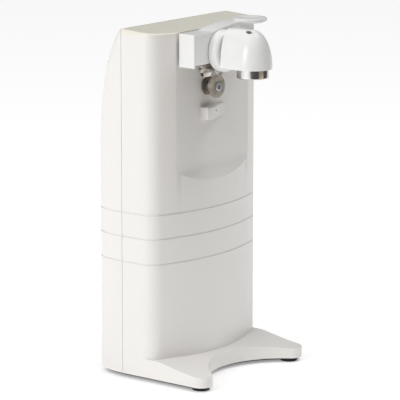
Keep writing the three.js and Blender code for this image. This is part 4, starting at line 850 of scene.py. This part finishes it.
# %% Hood form
HOOD_LOW, HOOD_HIGH = low("magnet_hood"), high("magnet_hood")
HOOD_BOTTOM, HOOD_END = HOOD_LOW.z, HOOD_HIGH.y
HOOD_TOP = HEIGHT + 0.6
HOOD_HEIGHT, HOOD_RADIUS = HOOD_TOP - HOOD_BOTTOM, (HOOD_HIGH.x - HOOD_LOW.x) / 2
HOOD_SKIRT = 1.2
HOOD_FULLNESS = 0.62
NOSE_Y = MAGNET_MIDDLE.y


def hood_form(name, inset, back, bottom, levels=26):
    radius, height = HOOD_RADIUS - inset, HOOD_HEIGHT - inset
    rings = []
    for k in range(levels + 1):
        t = math.radians(90 * k / levels * 0.992)
        wide, full = radius * math.cos(t), radius * math.cos(t) ** HOOD_FULLNESS
        z = HOOD_BOTTOM + height * math.sin(t) if k else bottom
        side = []
        for i in range(8):
            swell = (wide - full) * (1 - math.cos(math.pi * i / 8)) / 2
            side.append((full + swell, back + (NOSE_Y - back) * i / 8))
        ring = [(HUB_X - x, y, z) for x, y in side]
        ring += [(x, y, z) for x, y in arc((HUB_X, NOSE_Y), wide, 180, 360, 40)]
        ring += [(HUB_X + x, y, z) for x, y in reversed(side)]
        rings.append(ring)
    return loft(name, rings)


hood = hood_form("magnet_hood_shell", 0, HOOD_END, HOOD_BOTTOM - HOOD_SKIRT)
print("hood", round(2 * HOOD_RADIUS, 1), "wide and", round(HOOD_HEIGHT + HOOD_SKIRT, 1), "tall")

# %% [markdown]
# A smaller form of the same kind hollows the hood out. It leaves a web for the magnet's stem and two
# cheeks for the hinge pin, and the hood's sides reach back past the neck of the hub.

# %% Inside of the hood
HOOD_BACK = HOOD_END - 3.7
ROOM_INSET = 2
NECK_GAP = NECK_RADIUS + 1.4
CHEEK_NEAR, CHEEK_FAR = LUG_HALF + 0.6, LUG_HALF + 3.4
PIN_ROOM, STEM_ROOM = 1.8, 2.35

neck_side = [
    (HOOD_END + 3, HOOD_BOTTOM - 3), (HOOD_BACK, HOOD_BOTTOM - 3), (HOOD_BACK, HINGE_Z - 2.2),
    (HOOD_END - 1, HINGE_Z + 0.5), (HOOD_END + 3, HINGE_Z + 0.5),
]
round_edges(hood, 2.6, lambda a, b, angle: min(a.y, b.y) > HOOD_END - 0.1, 40, 6)
carve(hood, prism("neck room", neck_side, HUB_X - NECK_GAP, HUB_X + NECK_GAP, "X"))

room = hood_form("hood room", ROOM_INSET, HOOD_BACK - 2, HOOD_BOTTOM - 2)
stem_plan = rectangle(HUB_X - 15, HUB_X + 15, NOSE_Y - 15, HOOD_BACK)
carve(room, prism("stem web", stem_plan, HOOD_BOTTOM + 6, HOOD_BOTTOM + 8.2))
for side in (-1, 1):
    cheek_plan = rectangle(HUB_X + side * CHEEK_NEAR, HUB_X + side * CHEEK_FAR, HINGE_Y - 3, HOOD_BACK)
    carve(room, prism("cheek", cheek_plan, HINGE_Z - 3, HINGE_Z + 6))
carve(hood, room)
slot_plan = rectangle(HUB_X - CHEEK_NEAR, HUB_X + CHEEK_NEAR, HOOD_BACK - 3, HOOD_END + 1)
carve(hood, prism("lug slot", slot_plan, HINGE_Z - 6.5, HINGE_Z + 3.5))
carve(hood, rod("pin room", HINGE_SPOT, PIN_ROOM, HUB_X - 6.5, HUB_X + 6.5, "X"))
carve(hood, rod("stem room", (HUB_X, NOSE_Y), STEM_ROOM, HOOD_BOTTOM + 5, HOOD_BOTTOM + 9, "Z", 32))
print("hood hollowed,", len(hood.data.polygons), "faces")

# %% [markdown]
# On top of the hood a peg hole sits in a round facet that leans to the front left. Both are cut by rods
# along one slanted axis.

# %% Peg hole
PEG_AXIS = Vector((-0.26, -0.26, 0.93)).normalized()
PEG_SEAT = Vector((HUB_X - 3, NOSE_Y + 0.8, HOOD_TOP - 1.45))
FACET_RADIUS, PEG_RADIUS = 3.4, 2.2


def slanted_rod(radius, start, end):
    """A round cutter along the peg's axis."""
    across = Vector((1, -1, 0)).normalized()
    up = PEG_AXIS.cross(across)
    rings = []
    for along in (start, end):
        middle = PEG_SEAT + PEG_AXIS * along
        turns = [math.radians(9 * i) for i in range(40)]
        rings.append([middle + (across * math.cos(a) + up * math.sin(a)) * radius for a in turns])
    return loft("slanted rod", rings)


carve(hood, slanted_rod(FACET_RADIUS, 0, 5))
carve(hood, slanted_rod(PEG_RADIUS, -5, 1))
round_edges(hood, 0.45, lambda a, b, angle: max(a.z, b.z) < HOOD_BOTTOM - HOOD_SKIRT + 0.05, 40, 3)
settle(hood, "hood", LEVER_WHITE, "magnet_hood")

# %% [markdown]
# The magnet is a ferrite disc pressed into a bright cup. The cup's corner is rolled, its rim stands a
# little below the disc, and it has a blind socket for the stem that lets it float up and down.

# %% Magnet cup
CUP_LOW, CUP_TOP = low("magnet").z, high("magnet").z
CUP_RADIUS = (high("magnet").x - low("magnet").x) / 2
DISC_UP, SOCKET_RADIUS = 0.35, 2.3
cup_profile = filleted([
    (0, CUP_LOW + DISC_UP), (CUP_RADIUS - 2, CUP_LOW + DISC_UP), (CUP_RADIUS - 1.8, CUP_LOW, 0.1),
    (CUP_RADIUS, CUP_LOW, 0.8), (CUP_RADIUS, CUP_LOW + 3, 0), (CUP_RADIUS, CUP_TOP, 0.7),
    (SOCKET_RADIUS, CUP_TOP), (SOCKET_RADIUS, CUP_LOW + 3), (0, CUP_LOW + 3),
])
cup = lathe("magnet_cup", cup_profile, (HUB_X, NOSE_Y), "Z", 96)
settle(cup, "magnet", CHROME, "magnet")

# %% [markdown]
# ## Drive wheel, blade and guide
# The wheel bites the underside of the can's rim. Its teeth are small flat-topped wedges, so the outline
# is drawn tooth by tooth and carried through the thickness, with the edges broken by a fine bevel. Four
# punch marks around the screw are left from the tool that held it.

# %% Drive wheel
WHEEL_SPOT = spot_of("drive_wheel")
WHEEL_X, WHEEL_Z = WHEEL_SPOT
WHEEL_FRONT, WHEEL_BACK = low("drive_wheel").y, high("drive_wheel").y
WHEEL_RADIUS, WHEEL_TEETH, WHEEL_THICK, SHOULDER_RADIUS = 8, 26, 2.6, 6.4
TOOTH = ((0.0, 0.8), (0.10, 0.74), (0.36, 0.06), (0.5, 0), (0.64, 0.06), (0.90, 0.74))
SEAT_RADIUS, SEAT_FLOOR, SHAFT_THREAD = 3.5, WHEEL_FRONT + 1.6, 1.9
MARK_CIRCLE = 5.3


def around_wheel(reach, angle):
    return (WHEEL_X + reach * math.cos(angle), WHEEL_Z + reach * math.sin(angle))


tooth_line = [
    around_wheel(WHEEL_RADIUS - depth, (i + share) * 2 * math.pi / WHEEL_TEETH)
    for i in range(WHEEL_TEETH) for share, depth in TOOTH
]
wheel = prism("toothed_wheel", tooth_line, WHEEL_FRONT, WHEEL_FRONT + WHEEL_THICK, "Y")
round_edges(wheel, 0.22, lambda a, b, angle: abs(a.y - b.y) < 0.01, 60, 2)
shoulder = filleted([
    (0, WHEEL_FRONT + 2), (SHOULDER_RADIUS, WHEEL_FRONT + 2), (SHOULDER_RADIUS, WHEEL_BACK, 0.4),
    (0, WHEEL_BACK),
])
join(wheel, lathe("shoulder", shoulder, WHEEL_SPOT, "Y", 64))
seat = [
    (0, WHEEL_FRONT - 1), (SEAT_RADIUS + 0.4, WHEEL_FRONT - 1), (SEAT_RADIUS, WHEEL_FRONT + 0.3),
    (SEAT_RADIUS, SEAT_FLOOR), (SHAFT_THREAD, SEAT_FLOOR), (SHAFT_THREAD, WHEEL_BACK + 1),
    (0, WHEEL_BACK + 1),
]
carve(wheel, lathe("screw seat", seat, WHEEL_SPOT, "Y", 48))
mark = [(0, WHEEL_FRONT - 1), (0.75, WHEEL_FRONT - 1), (0.55, WHEEL_FRONT + 0.2), (0, WHEEL_FRONT + 0.5)]
for k in range(4):
    spot = around_wheel(MARK_CIRCLE, math.radians(45 + 90 * k))
    carve(wheel, lathe("punch mark", mark, spot, "Y", 16))
settle(wheel, "drive", WHEEL_STEEL, "drive_wheel")

# %% [markdown]
# A screw with a hexagonal socket holds the wheel on its shaft. Screws along Y share one function: the
# head and the shank are turned in one go, and each screw brings the cutter of its own driver shape.

# %% Screws along Y
SOCKET_REACH = 1.95


def screw(name, spot, head, shank, socket, body, node):
    """The head is (radius, front, back), the shank (radius, back), the socket a cutter."""
    radius, front, back = head
    profile = filleted([
        (0, front), (radius, front, 0.5), (radius, back),
        (shank[0], back), (shank[0], shank[1]), (0, shank[1]),
    ])
    made = carve(lathe(name, profile, spot, "Y", 48), socket)
    return settle(made, body, ZINC, node)


hexagon = [around_wheel(SOCKET_REACH, math.radians(60 * k)) for k in range(6)]
screw(
    "wheel_socket_screw", WHEEL_SPOT, (3.2, WHEEL_FRONT - 0.6, WHEEL_FRONT + 1.3), (1.6, WHEEL_BACK + 8),
    prism("hexagon socket", hexagon, WHEEL_FRONT - 2, WHEEL_FRONT + 0.9, "Y"), "drive", "wheel_screw",
)

# %% [markdown]
# The bushes of the wheel and of the lever are turned bronze with a flange against the recess.

# %% Bushes
BUSH_BORE, FLANGE_THICK, FLANGE_WIDTH = 3.1, 0.9, 1.5
for bush in BUSHES:
    near, far = low(bush), high(bush)
    flange = (far.x - near.x) / 2
    barrel = flange - FLANGE_WIDTH
    bushing = lathe(f"{bush}_turned", filleted([
        (BUSH_BORE, near.y + 0.3), (BUSH_BORE + 0.3, near.y), (flange, near.y, 0.25),
        (flange, near.y + FLANGE_THICK), (barrel, near.y + FLANGE_THICK), (barrel, far.y),
        (BUSH_BORE, far.y), (BUSH_BORE, near.y + 0.3),
    ]), spot_of(bush), "Y", 64)
    settle(bushing, "housing", BRONZE, bush)

# %% [markdown]
# The blade is a small plate with a ground point that ends just above the wheel, and a slotted screw
# holds it.

# %% Blade and its screw
BLADE_FRONT, BLADE_BACK = low("cutter_plate").y, high("cutter_plate").y
BLADE_LEFT, BLADE_TOP = CUTTER_X - 4, LEVER_BOTTOM - 0.5
TIP_X, TIP_Z = WHEEL_X - 1, WHEEL_Z + 7.6
blade_line = [
    (BLADE_LEFT, BLADE_TOP), (BLADE_LEFT, CUTTER_Z - 2), (TIP_X - 1.2, TIP_Z + 0.5), (TIP_X, TIP_Z),
    (TIP_X + 1.2, TIP_Z + 1), (TIP_X + 8, BLADE_TOP - 2.4), (TIP_X + 8, BLADE_TOP),
]
blade = prism("ground_blade", blade_line, BLADE_FRONT, BLADE_BACK, "Y")
carve(blade, rod("blade hole", CUTTER_SPOT, THREAD_HOLE, BLADE_FRONT - 1, BLADE_BACK + 1))
round_edges(blade, 0.18, sharper_than=40, segments=2)
settle(blade, "lever", CUTTER_STEEL, "cutter_plate")

HEAD_BACK, HEAD_FRONT = BLADE_FRONT - 0.3, low("cutter_screw").y
SLOT_HALF = 0.45
driver_slot = rectangle(CUTTER_X - 4, CUTTER_X + 4, CUTTER_Z - SLOT_HALF, CUTTER_Z + SLOT_HALF)
screw(
    "slotted_screw", CUTTER_SPOT, (3.1, HEAD_FRONT, HEAD_BACK), (1.7, high("cutter_screw").y),
    prism("driver slot", driver_slot, HEAD_FRONT - 1, HEAD_FRONT + 0.9, "Y"), "lever", "cutter_screw",
)

# %% [markdown]
# Beside the blade the guide keeps the can's rim in line: a stamped tab with a notch at its lower right.
# Its left side is rolled into an almost closed oval with a slanted end.

# %% Rim guide
GUIDE_LOW, GUIDE_HIGH = low("rim_guide"), high("rim_guide")
GUIDE_BACK, GUIDE_FACE = GUIDE_HIGH.y, GUIDE_HIGH.y - 1.4
ROLL_DEPTH, ROLL_HEIGHT, GUIDE_SHEET = (GUIDE_BACK - GUIDE_LOW.y) / 2, 4.4, 0.9
ROLL_RIGHT = CUTTER_X - 4.6
ROLL_Y, ROLL_Z = GUIDE_BACK - ROLL_DEPTH, GUIDE_LOW.z + ROLL_HEIGHT


def roll(deep, tall):
    """The rolled side's oval in y, z, with a gap of 40 degrees towards the back."""
    angles = [math.radians(20 + 320 * k / 32) for k in range(33)]
    return [(ROLL_Y + deep * math.cos(a), ROLL_Z + tall * math.sin(a)) for a in angles]


tab_plan = rectangle(ROLL_RIGHT - 2, GUIDE_HIGH.x, GUIDE_FACE, GUIDE_BACK)
guide = prism("stamped_guide", tab_plan, GUIDE_LOW.z, GUIDE_HIGH.z)
notch = rectangle(GUIDE_HIGH.x - 4.5, GUIDE_HIGH.x + 1, GUIDE_LOW.z - 1, CUTTER_Z - 3.4)
carve(guide, prism("guide notch", notch, GUIDE_FACE - 1, GUIDE_BACK + 1, "Y"))
inner_line = roll(ROLL_DEPTH - GUIDE_SHEET, ROLL_HEIGHT - GUIDE_SHEET)
roll_side = roll(ROLL_DEPTH, ROLL_HEIGHT) + inner_line[::-1]
rolled = prism("rolled edge", roll_side, GUIDE_LOW.x, ROLL_RIGHT, "X")
slant = [
    (GUIDE_LOW.x - 1, GUIDE_LOW.z - 1), (GUIDE_LOW.x + 4.5, GUIDE_LOW.z - 1),
    (GUIDE_LOW.x, GUIDE_HIGH.z), (GUIDE_LOW.x - 1, GUIDE_HIGH.z),
]
carve(rolled, prism("slanted end", slant, GUIDE_LOW.y - 1, GUIDE_BACK + 1, "Y"))
join(guide, rolled)
carve(guide, rod("guide hole", CUTTER_SPOT, THREAD_HOLE, GUIDE_FACE - 1, GUIDE_BACK + 1))
round_edges(guide, 0.2, sharper_than=40, segments=2)
settle(guide, "lever", CUTTER_STEEL, "rim_guide")

# %% [markdown]
# ## Underside and back
# Four rubber pads carry the opener. Each is a low puck with a rounded lower edge and a peg that goes
# into the base plate.

# %% Foot pads
PLATE_THICK, PLATE_GAP, PEG_HALF = 1, 0.3, 2
PAD_SEAT = BASE - PLATE_GAP - PLATE_THICK - PLATE_GAP
for place in ("front_left", "front_right", "rear_left", "rear_right"):
    node = f"foot_pad_{place}"
    near, far = low(node), high(node)
    radius = (far.x - near.x) / 2
    pad = lathe(f"pad_{place}", filleted([
        (0, near.z + 0.2), (radius - 1.8, near.z + 0.2), (radius - 1.6, near.z, 0.1),
        (radius, near.z, 0.6), (radius, PAD_SEAT, 0.3), (PEG_HALF, PAD_SEAT), (PEG_HALF, far.z),
        (0, far.z),
    ]), spot_of(node, "Z"), "Z", 56)
    settle(pad, "housing", RUBBER, node)

# %% [markdown]
# The gland is a soft grommet with a flange behind the cover and a slot for a flat two-core flex.

# %% Cord gland
near, far = low("cord_gland"), high("cord_gland")
gland_x, gland_z = spot_of("cord_gland")
flange = (far.x - near.x) / 2
neck, flange_front = flange - 1.6, REAR_DEPTH + 0.2
CORE_RADIUS, CORE_APART = 1.55, 1.5
gland = lathe("gland", filleted([
    (0, near.y), (neck, near.y, 0.4), (neck, flange_front, 0.2), (flange, flange_front, 0.4),
    (flange - 0.4, far.y, 0.7), (0, far.y),
]), (gland_x, gland_z), "Y", 56)
flex = []
for side in (1, -1):
    half_turn = [math.radians(-90 * side + step) for step in range(0, 181, 15)]
    flex += [(gland_x + side * CORE_APART + CORE_RADIUS * math.cos(a), gland_z + CORE_RADIUS * math.sin(a))
             for a in half_turn]
carve(gland, prism("flex slot", flex, near.y - 1, far.y + 1, "Y"))
settle(gland, "housing", RUBBER, "cord_gland")

# %% [markdown]
# The cover screws are long, with domed heads and cross-shaped sockets made by two crossing slots.

# %% Cover screws
HEAD_RADIUS, SHANK_RADIUS, CROSS_LONG, CROSS_SHORT = 3.4, 1.7, 2.0, 0.35
for i, name in enumerate(COVER_SCREWS):
    near, far = low(name), high(name)
    x, z = spot_of(name)
    seat = far.y - HEAD_DEPTH
    made = lathe(f"cross_screw_{i + 1}", filleted([
        (0, near.y), (1.2, near.y, 0.3), (SHANK_RADIUS, near.y + 1.5), (SHANK_RADIUS, seat),
        (HEAD_RADIUS, seat), (HEAD_RADIUS, far.y, 0.9), (0, far.y),
    ]), (x, z), "Y", 40)
    for wide, tall in ((CROSS_LONG, CROSS_SHORT), (CROSS_SHORT, CROSS_LONG)):
        slot = rectangle(x - wide, x + wide, z - tall, z + tall)
        carve(made, prism("cross", slot, far.y - 1, far.y + 1, "Y"))
    settle(made, "housing", ZINC, name)

# %% [markdown]
# ## Stage
# The camera stands two metres away at the front left and a little above, with a long lens, so upright
# edges stay almost parallel.

# %% Camera
TURN, TILT, DISTANCE = math.radians(51.76), math.radians(11.56), 2.0
AIM = Vector((-0.6 * MM, (SEAM - 22.4) * MM, (HEIGHT - 125.4) * MM))


def add_to_scene(name, data, toward, distance):
    """Puts a camera or a lamp at a distance from the aim, turned to face it."""
    made = bpy.data.objects.new(name, data)
    bpy.context.scene.collection.objects.link(made)
    made.location = AIM + toward * distance
    made.rotation_mode = "QUATERNION"
    made.rotation_quaternion = (-toward).to_track_quat("-Z", "Y")
    return made


camera_data = bpy.data.cameras.new("camera")
camera_data.sensor_width = 36
camera_data.lens = 256.95
camera_data.clip_start, camera_data.clip_end = 0.05, 100
away = Vector((-math.sin(TURN) * math.cos(TILT), -math.cos(TURN) * math.cos(TILT), math.sin(TILT)))
camera = add_to_scene("camera", camera_data, away, DISTANCE)
bpy.context.scene.camera = camera
print("camera at", [round(value, 3) for value in camera.location])

# %% [markdown]
# The floor is pale paper that glows a little, so it stays white under soft lamps. Two cards lie on it,
# unseen by the camera and from below: a dark one in front keeps the recess in a quiet shade and gives
# the chrome something to mirror, and a small warm one puts a straw-coloured patch in it.

# %% Floor and cards
bpy.ops.mesh.primitive_plane_add(size=40)
floor = bpy.context.object
floor.name = "floor"
paper = Finish("paper", base_color=(0.85, 0.85, 0.85), roughness=0.8)
paper.set("Emission Color", (1, 1, 1)).set("Emission Strength", 0.3)
floor.data.materials.append(paper.material)


def card(name, place, scale, colour, glow):
    """A flat board on the floor that only lights and mirrors: the camera looks through it."""
    bpy.ops.mesh.primitive_plane_add(size=1, location=place)
    made = bpy.context.object
    made.name, made.scale = name, (*scale, 1)
    board = Finish(name, base_color=colour, roughness=0.9)
    board.set("Emission Color", colour).set("Emission Strength", glow)
    board.set("Alpha", 1 - board.node("ShaderNodeNewGeometry", out="Backfacing"))
    made.data.materials.append(board.material)
    made.visible_camera = False
    print(name, "covers", scale[0], "by", scale[1], "m")


card("dark card", (0.6, -1.5, 0.001), (5.0, 2.0), (0.06, 0.055, 0.05), 0)
card("warm card", (0.22, -1.05, 0.002), (0.7, 0.5), (0.85, 0.70, 0.52), 0.5)

# %% [markdown]
# The surround is bright overhead and dim at the horizon, which shades the walls softly from top to
# bottom. Seen by the camera itself it is never darker than white.

# %% Surround
world = bpy.data.worlds.new("surround")
bpy.context.scene.world = world
world.use_nodes = True
tree = world.node_tree
spot, split, rise, path, most = (
    tree.nodes.new(f"ShaderNode{kind}")
    for kind in ("TexCoord", "SeparateXYZ", "MapRange", "LightPath", "Math")
)
rise.interpolation_type, most.operation = "SMOOTHSTEP", "MAXIMUM"
for key, value in {"From Min": 0.35, "From Max": 0.85, "To Min": 0.10, "To Max": 1.1}.items():
    rise.inputs[key].default_value = value
background = tree.nodes["Background"]
background.inputs["Color"].default_value = (1, 1, 1, 1)
for start, end in (
    (spot.outputs["Generated"], split.inputs[0]),
    (split.outputs["Z"], rise.inputs["Value"]),
    (rise.outputs[0], most.inputs[0]),
    (path.outputs["Is Camera Ray"], most.inputs[1]),
    (most.outputs[0], background.inputs["Strength"]),
):
    tree.links.new(start, end)
print("surround nodes:", len(tree.nodes))

# %% [markdown]
# Two soft round lamps are enough. The key lamp stands on the left and slightly behind, so the side and
# the lever are bright, and a weaker one hangs overhead in front and fills the rest.


# %% Lamps
def lamp(name, direction, distance, size, watts):
    data = bpy.data.lights.new(name, "AREA")
    data.shape = "DISK"
    data.size, data.energy = size, watts
    print(name, "lamp:", watts, "W at", distance, "m")
    return add_to_scene(name, data, Vector(direction).normalized(), distance)


lamp("key", (-1, 0.2, 0.35), 1.6, 0.8, 10)
lamp("top", (0.35, -0.6, 1.5), 1.6, 0.5, 4)
bpy.context.scene.view_settings.view_transform = "Standard"
